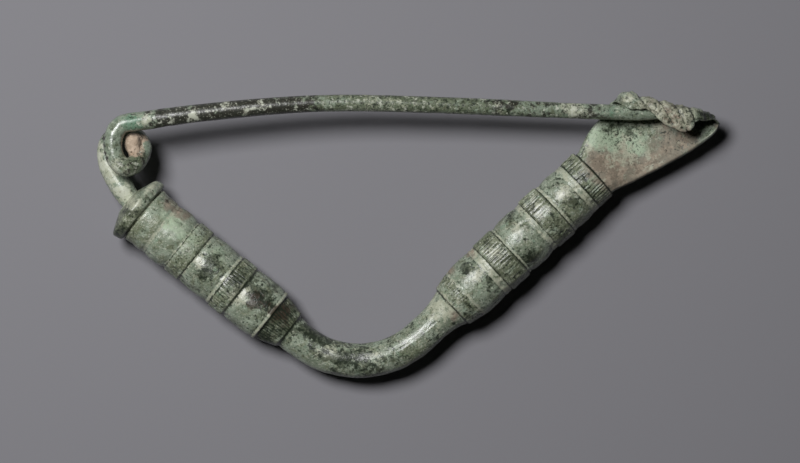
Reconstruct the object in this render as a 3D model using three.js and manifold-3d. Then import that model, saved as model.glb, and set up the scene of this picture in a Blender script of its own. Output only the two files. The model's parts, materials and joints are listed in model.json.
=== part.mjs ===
// Bronze elbow fibula (dress brooch), lying on its side with the pin seated in the catch.
//
// The bow is one casting: a collar, two arms of turned beads, bands and fillets, a plain elbow
// between them, and a flat palm whose fingers curl over the pin. The pin and its coiled spring
// are one piece of round wire, set into a socket in the collar. That wire is parted in the coil,
// so that the pin can turn: `spring` stays with the bow and `pin` moves.
//
// Millimetres. +X runs from the coil to the palm, +Y from the elbow to the pin, +Z is up from
// the surface that the brooch lies on.

import * as THREE from 'three';
import { mergeVertices } from 'three/addons/utils/BufferGeometryUtils.js';
import Module from 'manifold-3d';

const wasm = await Module();
wasm.setup();

// ---------------------------------------------------------------- driving dimensions

const GAP = 0.3;
const PARTING = 0.6;
const SLIVER = 0.005;
const ARM_SIDES = 24;
const ELBOW_SIDES = 20;
const WIRE_SIDES = 12;
const BEAD_STEPS = 5;

// Each arm is a line from where its carving starts to where it ends.
const SPRING_ARM = { start: [-40.36, 3.62, 4.9], end: [-17.87, -14.37, 4.27] };
const CATCH_ARM = { start: [6.83, -10.74, 4.38], end: [28.04, 9.2, 4.38] };

const VALLEY_RADIUS = 4.2;

// Turned elements in order along each arm: length, and the radius at the crest. A tapered band
// states its radius at both ends.
const SPRING_ARM_TURNING = [
  { form: 'ring', length: 2.19, radius: 5.3, endRadius: 4.75 },
  { form: 'valley', length: 0.23, radius: 4.1 },
  { form: 'band', length: 3.0, radius: 4.5 },
  { form: 'fillets', length: 0.58, radius: 4.36, count: 1 },
  { form: 'bead', length: 3.54, radius: 4.53 },
  { form: 'valley', length: 0.3, radius: 4.2 },
  { form: 'band', length: 2.63, radius: 4.45 },
  { form: 'valley', length: 0.22, radius: 4.2 },
  { form: 'bead', length: 4.95, radius: 4.44 },
  { form: 'fillets', length: 0.6, radius: 4.34, count: 1 },
  { form: 'band', length: 2.64, radius: 4.46 },
  { form: 'valley', length: 0.12, radius: 4.2 },
  { form: 'bead', length: 5.34, radius: 4.44 },
  { form: 'fillets', length: 0.54, radius: 4.3, count: 1 },
  { form: 'band', length: 3.36, radius: 3.95, endRadius: 3.15 },
];
const CATCH_ARM_TURNING = [
  { form: 'band', length: 2.5, radius: 3.65, endRadius: 4.15 },
  { form: 'fillets', length: 0.44, radius: 4.1, count: 1 },
  { form: 'bead', length: 4.16, radius: 4.41 },
  { form: 'fillets', length: 1.27, radius: 4.34, count: 2 },
  { form: 'band', length: 3.57, radius: 4.53 },
  { form: 'fillets', length: 0.46, radius: 4.34, count: 1 },
  { form: 'bead', length: 4.5, radius: 4.5 },
  { form: 'fillets', length: 0.9, radius: 4.34, count: 1 },
  { form: 'band', length: 3.38, radius: 4.53 },
  { form: 'fillets', length: 0.57, radius: 4.34, count: 1 },
  { form: 'bead', length: 3.45, radius: 4.44 },
  { form: 'fillets', length: 1.1, radius: 4.32, count: 1 },
  { form: 'band', length: 2.73, radius: 4.32 },
];
const COLLAR_LEAD = 1.44;
const COLLAR_BOSS = { length: 0.81, radius: 2.3 };

const ELBOW = { bendRadius: 13.8, radius: 2.62, springEndRadius: 2.7, catchEndRadius: 3.4, flare: 4.2 };

const WIRE_RADIUS = { socket: 1.5, coil: 1.42, middle: 1.22, catch: 1.06, point: 0.35 };
const COIL = { centre: [-42.09, 13.38], halfWidth: 2.385, halfHeight: 3.33 };
const LOWER_TURN = { centre: [-42.43, 13.2], halfWidth: 2.72, halfHeight: 3.45 };
const LOWER_WIRE_Z = 4.9;
const UPPER_WIRE_Z = 9.4;
const SOCKET_DEPTH = 2.6;

// The stub runs from the collar's socket up beside the coil.
const STUB = [[-41.9, 5.7], [-42.6, 6.75], [-43.85, 8.5], [-44.65, 9.9], [-45.05, 11.3]];
// The pin springs from the top of the coil, bends once, and runs on to its point in the catch.
const PIN = [[-38.5, 17.1], [-31, 18.15], [-13, 19.6], [5, 19.35], [23, 18.6], [35, 18.2], [39.7, 18.1]];
const PIN_CATCH_Z = 7.85;
const POINT_LENGTH = 5;

const PALM = { top: 5.2, bottom: 3.7, wrist: 1.9, wristShare: 0.32, rim: 0.3, foldRise: 0.9 };
const PALM_SOUTH = [
  [30.75, 6.45], [34.95, 8.45], [38.9, 10.45], [42.2, 12.2], [44.3, 13.9], [45.6, 15.2], [46.45, 16.7],
];
const PALM_NORTH = [
  [25.75, 12.2], [27.2, 14.4], [29, 16.7], [30.9, 19.4], [35, 20], [40.5, 18.9], [45.9, 17.9],
];

const LIP = { start: 30.75, end: 46.57, thickness: 0.62, rib: 0.22, roof: 10.2, base: 4.9, curl: 1.5 };
const FINGER_COUNT = 5;
const FINGER_PITCH = 2.3;
const FIRST_FINGER = 33.2;
const LIP_EDGE = [
  [30, 18.9], [34.3, 18.9], [35.6, 17.6], [36.9, 16.5], [38.7, 15.7], [40.6, 15.6], [42.2, 16.2], [44, 17.1],
  [47, 18.2],
];

// ---------------------------------------------------------------- small helpers

const vector = (p) => new THREE.Vector3(p[0], p[1], p[2] ?? 0);
const smooth = (t) => THREE.MathUtils.smoothstep(t, 0, 1);
const mix = THREE.MathUtils.lerp;

// A closed three.js geometry as a manifold solid.
function toSolid(geometry) {
  const bare = geometry.clone();
  bare.deleteAttribute('normal');
  bare.deleteAttribute('uv');
  const merged = mergeVertices(bare, 1e-5);
  const triangles = dropThin(merged.index.array);
  return new wasm.Manifold(new wasm.Mesh({
    numProp: 3,
    vertProperties: new Float32Array(merged.attributes.position.array),
    triVerts: triangles,
  }));
}

// Triangles that closed up when their corners merged are left out.
function dropThin(indices) {
  const kept = [];
  for (let i = 0; i < indices.length; i += 3) {
    const [a, b, c] = indices.slice(i, i + 3);
    if (a !== b && b !== c && c !== a) {
      kept.push(a, b, c);
    }
  }
  return new Uint32Array(kept);
}

// A manifold solid as a three.js geometry.
function toGeometry(solid) {
  const mesh = solid.getMesh();
  const geometry = new THREE.BufferGeometry();
  geometry.setAttribute('position', new THREE.BufferAttribute(new Float32Array(mesh.vertProperties), 3));
  geometry.setIndex(new THREE.BufferAttribute(new Uint32Array(mesh.triVerts), 1));
  geometry.computeVertexNormals();
  return geometry;
}

// Moves every vertex of a geometry to where `place` says.
function bend(geometry, place) {
  const position = geometry.attributes.position;
  for (let i = 0; i < position.count; i += 1) {
    const p = place(position.getX(i), position.getY(i), position.getZ(i));
    position.setXYZ(i, p.x, p.y, p.z);
  }
  return geometry;
}

// A round rod along a nearly level path: a unit cylinder bent so that its length follows `path`
// and its radius follows `radiusAt`, both over 0 to 1.
function rod(path, radiusAt, sides, steps) {
  const cylinder = new THREE.CylinderGeometry(1, 1, 1, sides, steps);
  const up = new THREE.Vector3(0, 0, 1);
  return bend(cylinder, (x, y, z) => {
    const t = THREE.MathUtils.clamp(y + 0.5, 0, 1);
    const along = path.getTangentAt(t);
    const across = new THREE.Vector3().crossVectors(along, up).normalize();
    const lift = new THREE.Vector3().crossVectors(across, along);
    const radius = radiusAt(t);
    return path.getPointAt(t).addScaledVector(across, x * radius).addScaledVector(lift, z * radius);
  });
}

// ---------------------------------------------------------------- the turned arms

// Points of one turned element, as [distance along the arm, radius].
function elementPoints(element, from) {
  const { form, length, radius } = element;
  const last = element.endRadius ?? radius;
  const chamfer = Math.min(0.12, length / 4);
  if (form === 'bead') {
    return Array.from({ length: BEAD_STEPS + 1 }, (_, i) => {
      const t = i / BEAD_STEPS;
      const bulge = Math.sqrt(Math.max(0, 1 - (2 * t - 1) ** 4));
      return [from + 0.05 + t * (length - 0.1), mix(VALLEY_RADIUS, radius, bulge)];
    });
  }
  if (form === 'fillets') {
    const ridge = length / element.count;
    const points = [];
    for (let i = 0; i < element.count; i += 1) {
      points.push([from + (i + 0.1) * ridge, VALLEY_RADIUS]);
      points.push([from + (i + 0.5) * ridge, radius]);
      points.push([from + (i + 0.9) * ridge, VALLEY_RADIUS]);
    }
    return points;
  }
  if (form === 'valley') {
    return [[from + length * 0.3, radius], [from + length * 0.7, radius]];
  }
  if (form === 'ring') {
    const bevel = 0.25;
    const end = from + length;
    return [[from, radius - 0.15], [from + bevel, radius], [end - bevel, last], [end, last - bevel]];
  }
  return [
    [from + 0.02, radius - 0.14],
    [from + chamfer, radius],
    [from + length - chamfer, last],
    [from + length - 0.02, last - 0.14],
  ];
}

// One arm turned about its own line. `lead` is how far the first element starts before the
// arm's start, and `nose` is the cone in front of it, if there is one.
function turnedArm(arm, turning, lead, nose) {
  const profile = [];
  let at = -lead;
  if (nose) {
    profile.push([at - nose.length, 0], [at - nose.length, nose.radius]);
  } else {
    profile.push([at, 0]);
  }
  for (const element of turning) {
    profile.push(...elementPoints(element, at));
    at += element.length;
  }
  profile.push([at, 0]);
  const points = profile.map(([along, radius]) => new THREE.Vector2(radius, along));
  const lathe = new THREE.LatheGeometry(points, ARM_SIDES);
  const start = vector(arm.start);
  const direction = vector(arm.end).sub(start).normalize();
  const turn = new THREE.Quaternion().setFromUnitVectors(new THREE.Vector3(0, 1, 0), direction);
  lathe.applyQuaternion(turn);
  lathe.translate(start.x, start.y, start.z);
  return lathe;
}

// ---------------------------------------------------------------- the elbow

// The elbow's line: straight on from the spring arm, round an arc, and straight into the catch arm.
function elbowPath() {
  const from = vector(SPRING_ARM.end);
  const to = vector(CATCH_ARM.start);
  const inward = from.clone().sub(vector(SPRING_ARM.start)).setZ(0).normalize();
  const outward = vector(CATCH_ARM.end).sub(to).setZ(0).normalize();
  const cross = inward.x * outward.y - inward.y * outward.x;
  const reach = ((to.x - from.x) * outward.y - (to.y - from.y) * outward.x) / cross;
  const corner = from.clone().addScaledVector(inward, reach);
  const tangent = ELBOW.bendRadius * Math.tan(inward.angleTo(outward) / 2);
  const arcStart = corner.clone().addScaledVector(inward, -tangent);
  const arcEnd = corner.clone().addScaledVector(outward, tangent);
  const centre = arcStart.clone().add(new THREE.Vector3(-inward.y, inward.x, 0).multiplyScalar(ELBOW.bendRadius));
  const startAngle = Math.atan2(arcStart.y - centre.y, arcStart.x - centre.x);
  const sweep = inward.angleTo(outward);
  const points = [from.clone().addScaledVector(inward, -0.6), from.clone()];
  const arcSteps = 16;
  for (let i = 0; i <= arcSteps; i += 1) {
    const angle = startAngle + (sweep * i) / arcSteps;
    points.push(new THREE.Vector3(
      centre.x + ELBOW.bendRadius * Math.cos(angle),
      centre.y + ELBOW.bendRadius * Math.sin(angle),
      from.z,
    ));
  }
  const straight = arcEnd.distanceTo(to);
  points.push(arcEnd.clone().addScaledVector(outward, straight / 2), to.clone().addScaledVector(outward, 0.6));
  return new THREE.CatmullRomCurve3(points, false, 'centripetal');
}

function elbow() {
  const path = elbowPath();
  const length = path.getLength();
  const radiusAt = (t) => {
    const fromCatch = (1 - t) * length - 0.6;
    const trumpet = Math.max(0, 1 - fromCatch / ELBOW.flare);
    const root = Math.max(0, 1 - (t * length) / ELBOW.flare);
    return ELBOW.radius
      + (ELBOW.catchEndRadius - ELBOW.radius) * Math.min(1, trumpet) ** 1.7
      + (ELBOW.springEndRadius - ELBOW.radius) * root;
  };
  return rod(path, radiusAt, ELBOW_SIDES, 18);
}

// ---------------------------------------------------------------- the catch: palm and fingers

// The palm is a box bent between its southern and northern edges. It is thick at the wrist,
// dished in the middle, and rises to the fold on its northern side.
function palm() {
  const south = new THREE.CatmullRomCurve3(PALM_SOUTH.map(vector), false, 'centripetal');
  const north = new THREE.CatmullRomCurve3(PALM_NORTH.map(vector), false, 'centripetal');
  const arm = vector(CATCH_ARM.end).sub(vector(CATCH_ARM.start)).setZ(0).normalize();
  const box = new THREE.BoxGeometry(1, 1, 1, 12, 6, 1);
  return bend(box, (x, y, z) => {
    const along = THREE.MathUtils.clamp(x + 0.5, 0, 1);
    const across = THREE.MathUtils.clamp(y + 0.5, 0, 1);
    const u = Math.max(0, (along * 13 - 1) / 12);
    const point = south.getPointAt(u).lerp(north.getPoint(u), across);
    point.addScaledVector(arm, along === 0 ? -2 : 0);
    const wrist = PALM.wrist * (1 - smooth(u / PALM.wristShare)) * (1 - (2 * across - 1) ** 2);
    const rim = PALM.rim * (2 * across - 1) ** 4;
    const fold = PALM.foldRise * smooth((across - 0.6) / 0.4) * smooth(u / 0.3);
    point.z = z > 0 ? PALM.top + wrist + rim + fold : PALM.bottom - wrist + fold * 0.8;
    return point;
  });
}

// How far out the lip's back stands at x: a straight line with a lobe at the first finger,
// rounded off at both ends.
function lipBack(x) {
  const line = 21.1 - 0.235 * (x - 33);
  const lobe = 0.3 * Math.exp(-(((x - 33.3) / 1.1) ** 2));
  const opening = 0.65 * (1 - smooth((x - LIP.start) / 2));
  const nose = 1.0 * smooth((x - 44.9) / 1.6);
  return line + lobe - opening - nose;
}

// Height of the lip's top at x: level over the pin, lower towards the nose.
function lipRoof(x) {
  return LIP.roof - 0.105 * Math.max(0, x - 40.3) ** 2;
}

function fingerRidge(x) {
  const phase = (x - FIRST_FINGER) / FINGER_PITCH;
  const inHand = phase > -0.5 && phase < FINGER_COUNT - 0.5;
  return inHand ? Math.abs(Math.cos(Math.PI * phase)) : 0;
}

// The lip is a box bent round the pin: its length follows the fold, its width runs up the back
// and over the pin to the free edge, and ridges across it are the fingers.
function lip() {
  const edge = new THREE.CatmullRomCurve3(LIP_EDGE.map(vector), false, 'centripetal');
  const edgeAt = (x) => {
    let low = 0;
    let high = 1;
    for (let i = 0; i < 24; i += 1) {
      const middle = (low + high) / 2;
      if (edge.getPoint(middle).x < x) {
        low = middle;
      } else {
        high = middle;
      }
    }
    return edge.getPoint(low).y;
  };
  const box = new THREE.BoxGeometry(1, 1, 1, 24, 8, 1);
  return bend(box, (along, around, through) => {
    const x = mix(LIP.start, LIP.end, along + 0.5);
    const back = lipBack(x);
    const roof = lipRoof(x);
    const curl = Math.min(LIP.curl, (roof - LIP.base) * 0.6);
    const middle = back - curl;
    const free = Math.min(edgeAt(x), back - 0.9);
    const outside = through < 0 ? 0.5 + (LIP.rib / LIP.thickness) * fingerRidge(x) : -0.5;
    const offset = outside * LIP.thickness;
    const over = Math.max(0, middle - free);
    const lastAngle = free > middle ? Math.acos(THREE.MathUtils.clamp((free - middle) / curl, -1, 1)) : Math.PI / 2;
    const wall = roof - LIP.base - curl;
    const bow = curl * lastAngle;
    const s = (around + 0.5) * (wall + bow + over);
    if (s <= wall) {
      return new THREE.Vector3(x, back - LIP.thickness / 2 - LIP.rib + offset, LIP.base + s);
    }
    const turned = Math.min(s - wall, bow) / curl;
    const rest = Math.max(0, s - wall - bow);
    const radial = curl - LIP.thickness / 2 - LIP.rib + offset;
    return new THREE.Vector3(
      x,
      middle + radial * Math.cos(turned) - rest * Math.sin(turned),
      roof - curl + radial * Math.sin(turned),
    );
  });
}

// ---------------------------------------------------------------- the wire

// Points of a turn of the coil, from one angle to another in degrees. The wire climbs from the
// lower level to the upper one while it turns from 70 to -110 degrees.
function turnPoints(turn, from, to, count) {
  return Array.from({ length: count }, (_, i) => {
    const degrees = mix(from, to, i / (count - 1));
    const angle = THREE.MathUtils.degToRad(degrees);
    return new THREE.Vector3(
      turn.centre[0] + turn.halfWidth * Math.cos(angle),
      turn.centre[1] + turn.halfHeight * Math.sin(angle),
      mix(LOWER_WIRE_Z, UPPER_WIRE_Z, smooth((70 - degrees) / 180)),
    );
  });
}

const lowerStub = STUB.map(([x, y]) => new THREE.Vector3(x, y, LOWER_WIRE_Z));
const stubDirection = lowerStub[0].clone().sub(lowerStub[1]).normalize();

// Stub and lower turn, from the bottom of the socket to the parting.
function springPath() {
  const bottom = lowerStub[0].clone().addScaledVector(stubDirection, SOCKET_DEPTH);
  const turn = turnPoints(LOWER_TURN, 180, 0, 13);
  return new THREE.CatmullRomCurve3([bottom, ...lowerStub, ...turn], false, 'centripetal');
}

// Upper turn and pin, from the parting to the point.
function pinPath() {
  const turn = turnPoints(COIL, 0, -268, 17);
  const shaft = PIN.map(([x, y]) => {
    const share = (x - PIN[0][0]) / (PIN.at(-1)[0] - PIN[0][0]);
    return new THREE.Vector3(x, y, mix(UPPER_WIRE_Z, PIN_CATCH_Z, share));
  });
  return new THREE.CatmullRomCurve3([...turn, ...shaft], false, 'centripetal');
}

function springSolid() {
  const path = springPath();
  const length = path.getLength();
  const radiusAt = (t) => mix(WIRE_RADIUS.socket, WIRE_RADIUS.coil, smooth((t * length) / 9));
  const kept = 1 - PARTING / 2 / length;
  const short = { getPointAt: (t) => path.getPointAt(t * kept), getTangentAt: (t) => path.getTangentAt(t * kept) };
  return toSolid(rod(short, radiusAt, WIRE_SIDES, 30));
}

function pinSolid() {
  const path = pinPath();
  const length = path.getLength();
  const first = PARTING / 2 / length;
  const place = (t) => first + (1 - first) * spread(t);
  const along = { getPointAt: (t) => path.getPointAt(place(t)), getTangentAt: (t) => path.getTangentAt(place(t)) };
  const radiusAt = (t) => pinRadius(place(t) * length, length);
  return toSolid(rod(along, radiusAt, WIRE_SIDES, 48));
}

// Steps are close together round the coil and at the point, and far apart along the shaft.
function spread(t) {
  const coilShare = 0.17;
  const coilSteps = 0.5;
  return t < coilSteps ? (t / coilSteps) * coilShare : coilShare + ((t - coilSteps) / (1 - coilSteps)) * (1 - coilShare);
}

// Radius of the pin at a distance from the parting: it thins slowly, then comes to a point.
function pinRadius(distance, length) {
  const half = length / 2;
  const shaft = distance < half
    ? mix(WIRE_RADIUS.coil, WIRE_RADIUS.middle, distance / half)
    : mix(WIRE_RADIUS.middle, WIRE_RADIUS.catch, (distance - half) / half);
  const toPoint = THREE.MathUtils.clamp((length - distance) / POINT_LENGTH, 0, 1);
  return mix(WIRE_RADIUS.point, shaft, Math.sqrt(toPoint));
}

// ---------------------------------------------------------------- the castings, joined and cut

// What is below the surface that the brooch lies on is worn flat.
function wearFlat() {
  const below = new THREE.BoxGeometry(140, 100, 10);
  below.translate(0, 0, -5);
  return toSolid(below);
}

// The socket is a round hole for the stub, with a running gap all round it.
function socket() {
  const from = lowerStub[1];
  const to = lowerStub[0].clone().addScaledVector(stubDirection, SOCKET_DEPTH + GAP);
  const line = new THREE.LineCurve3(from, to);
  return toSolid(rod(line, () => WIRE_RADIUS.socket + GAP, WIRE_SIDES, 1));
}

function bowSolid() {
  return toSolid(turnedArm(SPRING_ARM, SPRING_ARM_TURNING, COLLAR_LEAD, COLLAR_BOSS))
    .add(toSolid(turnedArm(CATCH_ARM, CATCH_ARM_TURNING, 0, null)))
    .add(toSolid(elbow()))
    .add(toSolid(palm()))
    .add(toSolid(lip()))
    .subtract(wearFlat())
    .subtract(socket())
    .simplify(SLIVER);
}

function bronze(color) {
  return new THREE.MeshStandardMaterial({ color, roughness: 0.7, metalness: 0.2 });
}

function part(name, solid, color) {
  const mesh = new THREE.Mesh(toGeometry(solid), bronze(color));
  mesh.name = name;
  return mesh;
}

const fibula = new THREE.Group();
fibula.add(part('bow', bowSolid(), 0x8f9a82));
fibula.add(part('spring', springSolid(), 0x9aa894));
fibula.add(part('pin', pinSolid(), 0x6d7264));

export default fibula;
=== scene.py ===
"""Looks of a bronze elbow fibula, an ancient dress brooch, around its construction model.

The bow is one casting: a collar, two arms of turned beads and hatched bands, a plain elbow, and a
palm whose fingers fold over the pin. The wire is one piece: a stub in the collar, a coil and the
pin. Both have a corroded, partly cleaned surface. Sizes are millimetres, and meshes are metres.
"""

import json
import logging
import math
from dataclasses import dataclass, field
from enum import Enum

import bpy
import numpy as np
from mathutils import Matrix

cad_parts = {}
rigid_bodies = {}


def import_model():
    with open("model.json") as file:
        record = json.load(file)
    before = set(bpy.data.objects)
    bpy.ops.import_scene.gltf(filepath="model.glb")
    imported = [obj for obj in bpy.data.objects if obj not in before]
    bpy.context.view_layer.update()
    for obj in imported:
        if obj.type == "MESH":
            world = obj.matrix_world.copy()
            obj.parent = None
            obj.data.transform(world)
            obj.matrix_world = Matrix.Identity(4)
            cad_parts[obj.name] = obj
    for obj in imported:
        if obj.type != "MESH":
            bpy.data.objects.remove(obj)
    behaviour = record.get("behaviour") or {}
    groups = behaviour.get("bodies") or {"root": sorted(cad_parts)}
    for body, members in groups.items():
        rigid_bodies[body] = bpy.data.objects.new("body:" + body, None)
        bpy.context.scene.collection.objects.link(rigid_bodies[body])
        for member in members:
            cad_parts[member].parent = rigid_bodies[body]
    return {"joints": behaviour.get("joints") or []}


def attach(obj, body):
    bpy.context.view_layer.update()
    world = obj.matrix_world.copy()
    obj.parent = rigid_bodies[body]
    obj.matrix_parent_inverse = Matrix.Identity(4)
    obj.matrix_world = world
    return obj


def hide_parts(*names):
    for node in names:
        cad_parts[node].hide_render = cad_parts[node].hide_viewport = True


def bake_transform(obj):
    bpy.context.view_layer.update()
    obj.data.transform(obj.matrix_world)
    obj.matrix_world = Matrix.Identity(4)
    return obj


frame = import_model()

Array = np.ndarray
LOG = logging.getLogger("fibula")
MM = 0.001
UP = np.array([0.0, 0.0, 1.0])
LINE_STEP = 0.05
OUTLINE_STEP = 0.02
HOLLOW = "hollow"


# ---------------------------------------------------------------- numbers and fields


def ramp(value: Array, low: float = 0.0, high: float = 1.0) -> Array:
    """Cubic ramp: 0 below low, 1 above high, and 3t squared minus 2t cubed between them."""
    t = np.clip((value - low) / (high - low), 0.0, 1.0)
    return t * t * (3.0 - 2.0 * t)


def bell(distance: Array, width: float) -> Array:
    """Bell curve: e to the power of minus the squared ratio of distance to width."""
    return np.exp(-((distance / width) ** 2))


def unit(vectors: Array) -> Array:
    """Vectors divided by their lengths."""
    return vectors / np.maximum(np.linalg.norm(vectors, axis=-1, keepdims=True), 1e-12)


def running_length(points: Array) -> Array:
    """Distance from the first point to each one along straight steps."""
    return np.concatenate([[0.0], np.cumsum(np.linalg.norm(np.diff(points, axis=0), axis=1))])


@dataclass(frozen=True)
class Grain:
    """A smooth random field through space, from about -1 to 1, with lumps of one size.

    Random values sit on a cubic lattice and are mixed between its corners by cubic ramps. Each
    further octave has half the lump size and half the height.
    """

    size: float
    seed: int
    octaves: int = 1
    lattice: int = 32

    def at(self, points: Array) -> Array:
        """Field values.

        Args:
            points: Places in mm, with the three coordinates last.

        Returns:
            One value for each place.
        """
        table = np.random.default_rng(self.seed).uniform(-1.0, 1.0, (self.lattice,) * 3)
        total = np.zeros(points.shape[:-1])
        for octave in range(self.octaves):
            place = points * (2.0**octave / self.size) + 5.7 * octave
            cell = np.floor(place).astype(int)
            share = ramp(place - cell)
            for corner in range(8):
                step = np.array([corner & 1, corner >> 1 & 1, corner >> 2 & 1])
                weight = np.prod(np.where(step, share, 1.0 - share), axis=-1)
                i, j, k = np.moveaxis((cell + step) % self.lattice, -1, 0)
                total += weight * table[i, j, k] / 2.0**octave
        return total


def lumpy(points: Array, lumps: tuple[tuple[float, float, int], ...], seed: int) -> Array:
    """Lumps of several sizes on top of each other: random fields times their heights, added up.

    Args:
        points: Places in mm, with the three coordinates last.
        lumps: Each field's height, lump size and octaves.
        seed: Seed of the first field. Each further one has the next.

    Returns:
        One height for each place.
    """
    return sum(
        height * Grain(size, seed + number, octaves).at(points)
        for number, (height, size, octaves) in enumerate(lumps)
    )


def smooth_curve(knots: Array, values: Array, t: Array) -> Array:
    """Smooth curve through values: cubic Hermite pieces with slopes from the neighbours.

    Args:
        knots: Where each value is reached.
        values: One row for each knot.
        t: Where the curve is wanted.

    Returns:
        One row for each t.
    """
    slope = np.gradient(values, knots, axis=0)
    piece = np.clip(np.searchsorted(knots, t, side="right") - 1, 0, len(knots) - 2)
    width = (knots[piece + 1] - knots[piece])[:, None]
    u = (t - knots[piece])[:, None] / width
    return (
        (2 * u**3 - 3 * u**2 + 1) * values[piece]
        + (u**3 - 2 * u**2 + u) * width * slope[piece]
        + (3 * u**2 - 2 * u**3) * values[piece + 1]
        + (u**3 - u**2) * width * slope[piece + 1]
    )


@dataclass(frozen=True)
class Line:
    """A curve through points, as places at even steps with the distance to each."""

    places: Array
    distance: Array

    @classmethod
    def through(cls, points: Array, step: float) -> "Line":
        """Centripetal Catmull-Rom curve: cubic Hermite pieces whose knots are spaced by the root
        of the chord, resampled at even distance.

        Args:
            points: The points that it goes through, in mm.
            step: Distance between places, in mm.

        Returns:
            The curve.
        """
        chord = np.sqrt(np.linalg.norm(np.diff(points, axis=0), axis=1))
        knot = np.concatenate([[0.0], np.cumsum(chord)])
        dense = smooth_curve(knot, points, np.linspace(0.0, knot[-1], 40 * len(points)))
        along = running_length(dense)
        even = np.linspace(0.0, along[-1], max(2, int(along[-1] / step)))
        places = np.stack([np.interp(even, along, dense[:, k]) for k in range(3)], axis=1)
        return cls(places, even)

    def at(self, distance: Array) -> Array:
        """Places at distances along the curve."""
        axes = [np.interp(distance, self.distance, self.places[:, k]) for k in range(3)]
        return np.stack(axes, axis=-1)

    def frames(self, distance: Array) -> tuple[Array, Array, Array]:
        """Directions along the curve, level across it, and square to both.

        Args:
            distance: Distances along the curve.

        Returns:
            Unit vectors along, across (to the left) and lift (upwards), for each distance.
        """
        along = unit(self.at(distance + 0.05) - self.at(distance - 0.05))
        across = unit(np.cross(np.broadcast_to(UP, along.shape), along))
        return along, across, np.cross(along, across)


# ---------------------------------------------------------------- surfaces and meshes


@dataclass
class Surface:
    """A closed surface: a grid of points, round a section one way and along the piece the other,
    with a point in the middle of each end."""

    points: Array

    def displaced(self, height: Array) -> "Surface":
        """The surface moved along its own normals.

        The normal is the cross product of the differences to the next points both ways.

        Args:
            height: How far each point moves outwards, in mm.

        Returns:
            The moved surface.
        """
        round_step = np.roll(self.points, -1, axis=1) - np.roll(self.points, 1, axis=1)
        along_step = np.gradient(self.points, axis=0)
        normal = unit(np.cross(round_step, along_step))
        outwards = self.points - self.points.mean(axis=1, keepdims=True)
        if (normal * outwards).sum() < 0:
            normal = -normal
        return Surface(self.points + normal * height[..., None])

    def build(self, name: str) -> bpy.types.Object:
        """The surface as an object at the origin, its faces pointing outwards.

        Args:
            name: The object's name.

        Returns:
            The new object.
        """
        rows, columns = self.points.shape[:2]
        ends = np.stack([self.points[0].mean(axis=0), self.points[-1].mean(axis=0)])
        places = np.concatenate([self.points.reshape(-1, 3), ends]) * MM
        index = np.arange(rows * columns).reshape(rows, columns)
        after = np.roll(index, -1, axis=1)
        quads = np.stack([index[:-1], after[:-1], after[1:], index[1:]], axis=-1).reshape(-1, 4)
        first = np.full(columns, rows * columns)
        caps = np.concatenate([
            np.stack([after[0], index[0], first], axis=-1),
            np.stack([index[-1], after[-1], first + 1], axis=-1),
        ])
        a, b, c, d = (places[quads[:, k]] for k in range(4))
        volume = (a * np.cross(b, c)).sum() + (a * np.cross(c, d)).sum()
        if volume < 0:
            quads, caps = quads[:, ::-1], caps[:, ::-1]
        return mesh_object(name, places, quads, caps)


def mesh_object(name: str, places: Array, quads: Array, triangles: Array) -> bpy.types.Object:
    """A smooth-shaded mesh object from arrays.

    Args:
        name: The object's name.
        places: Vertices in metres.
        quads: Faces of four corners.
        triangles: Faces of three corners.

    Returns:
        The new object, linked to the scene.
    """
    mesh = bpy.data.meshes.new(name)
    corners = np.concatenate([quads.ravel(), triangles.ravel()]).astype(np.int32)
    starts = np.concatenate([
        np.arange(len(quads)) * 4,
        len(quads) * 4 + np.arange(len(triangles)) * 3,
    ]).astype(np.int32)
    mesh.vertices.add(len(places))
    mesh.vertices.foreach_set("co", places.astype(np.float32).ravel())
    mesh.loops.add(len(corners))
    mesh.loops.foreach_set("vertex_index", corners)
    mesh.polygons.add(len(starts))
    mesh.polygons.foreach_set("loop_start", starts)
    mesh.update(calc_edges=True)
    mesh.validate()
    mesh.shade_smooth()
    made = bpy.data.objects.new(name, mesh)
    bpy.context.scene.collection.objects.link(made)
    return made


def fuse(body: bpy.types.Object, addition: bpy.types.Object) -> None:
    """Joins a second closed mesh into the first as one solid, and removes the second.

    Args:
        body: The object that keeps its name and gets the joined mesh.
        addition: The object that is joined to it.
    """
    joint = body.modifiers.new("fuse", "BOOLEAN")
    joint.operation = "UNION"
    joint.solver = "MANIFOLD"
    joint.object = addition
    graph = bpy.context.evaluated_depsgraph_get()
    joined = bpy.data.meshes.new_from_object(body.evaluated_get(graph))
    body.modifiers.clear()
    body.data = joined
    joined.shade_smooth()
    bpy.data.objects.remove(addition)


@dataclass(frozen=True)
class Skin:
    """What the finishes need to know of a mesh: its places, its normals and its hollows, in mm."""

    places: Array
    normals: Array
    hollow: Array

    @classmethod
    def of(cls, mesh: bpy.types.Mesh, passes: int) -> "Skin":
        """Measures a mesh.

        A hollow is how far the average of the neighbours, taken again and again, lies outside a
        vertex along its normal. It is below zero on ridges.

        Args:
            mesh: The mesh.
            passes: How often the average is taken: more passes see wider hollows.

        Returns:
            The measured skin.
        """
        count = len(mesh.vertices)
        places = np.zeros(count * 3)
        mesh.vertices.foreach_get("co", places)
        places = places.reshape(-1, 3) / MM
        normals = np.zeros(count * 3)
        mesh.vertex_normals.foreach_get("vector", normals)
        normals = normals.reshape(-1, 3)
        edges = np.zeros(len(mesh.edges) * 2, np.int32)
        mesh.edges.foreach_get("vertices", edges)
        ends = np.concatenate([edges.reshape(-1, 2), edges.reshape(-1, 2)[:, ::-1]])
        share = np.bincount(ends[:, 0], minlength=count)
        average = places
        for _ in range(passes):
            sums = [np.bincount(ends[:, 0], average[ends[:, 1], k], count) for k in range(3)]
            average = 0.5 * average + 0.5 * np.stack(sums, axis=1) / np.maximum(share, 1)[:, None]
        return cls(places, normals, ((average - places) * normals).sum(axis=1))


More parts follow.
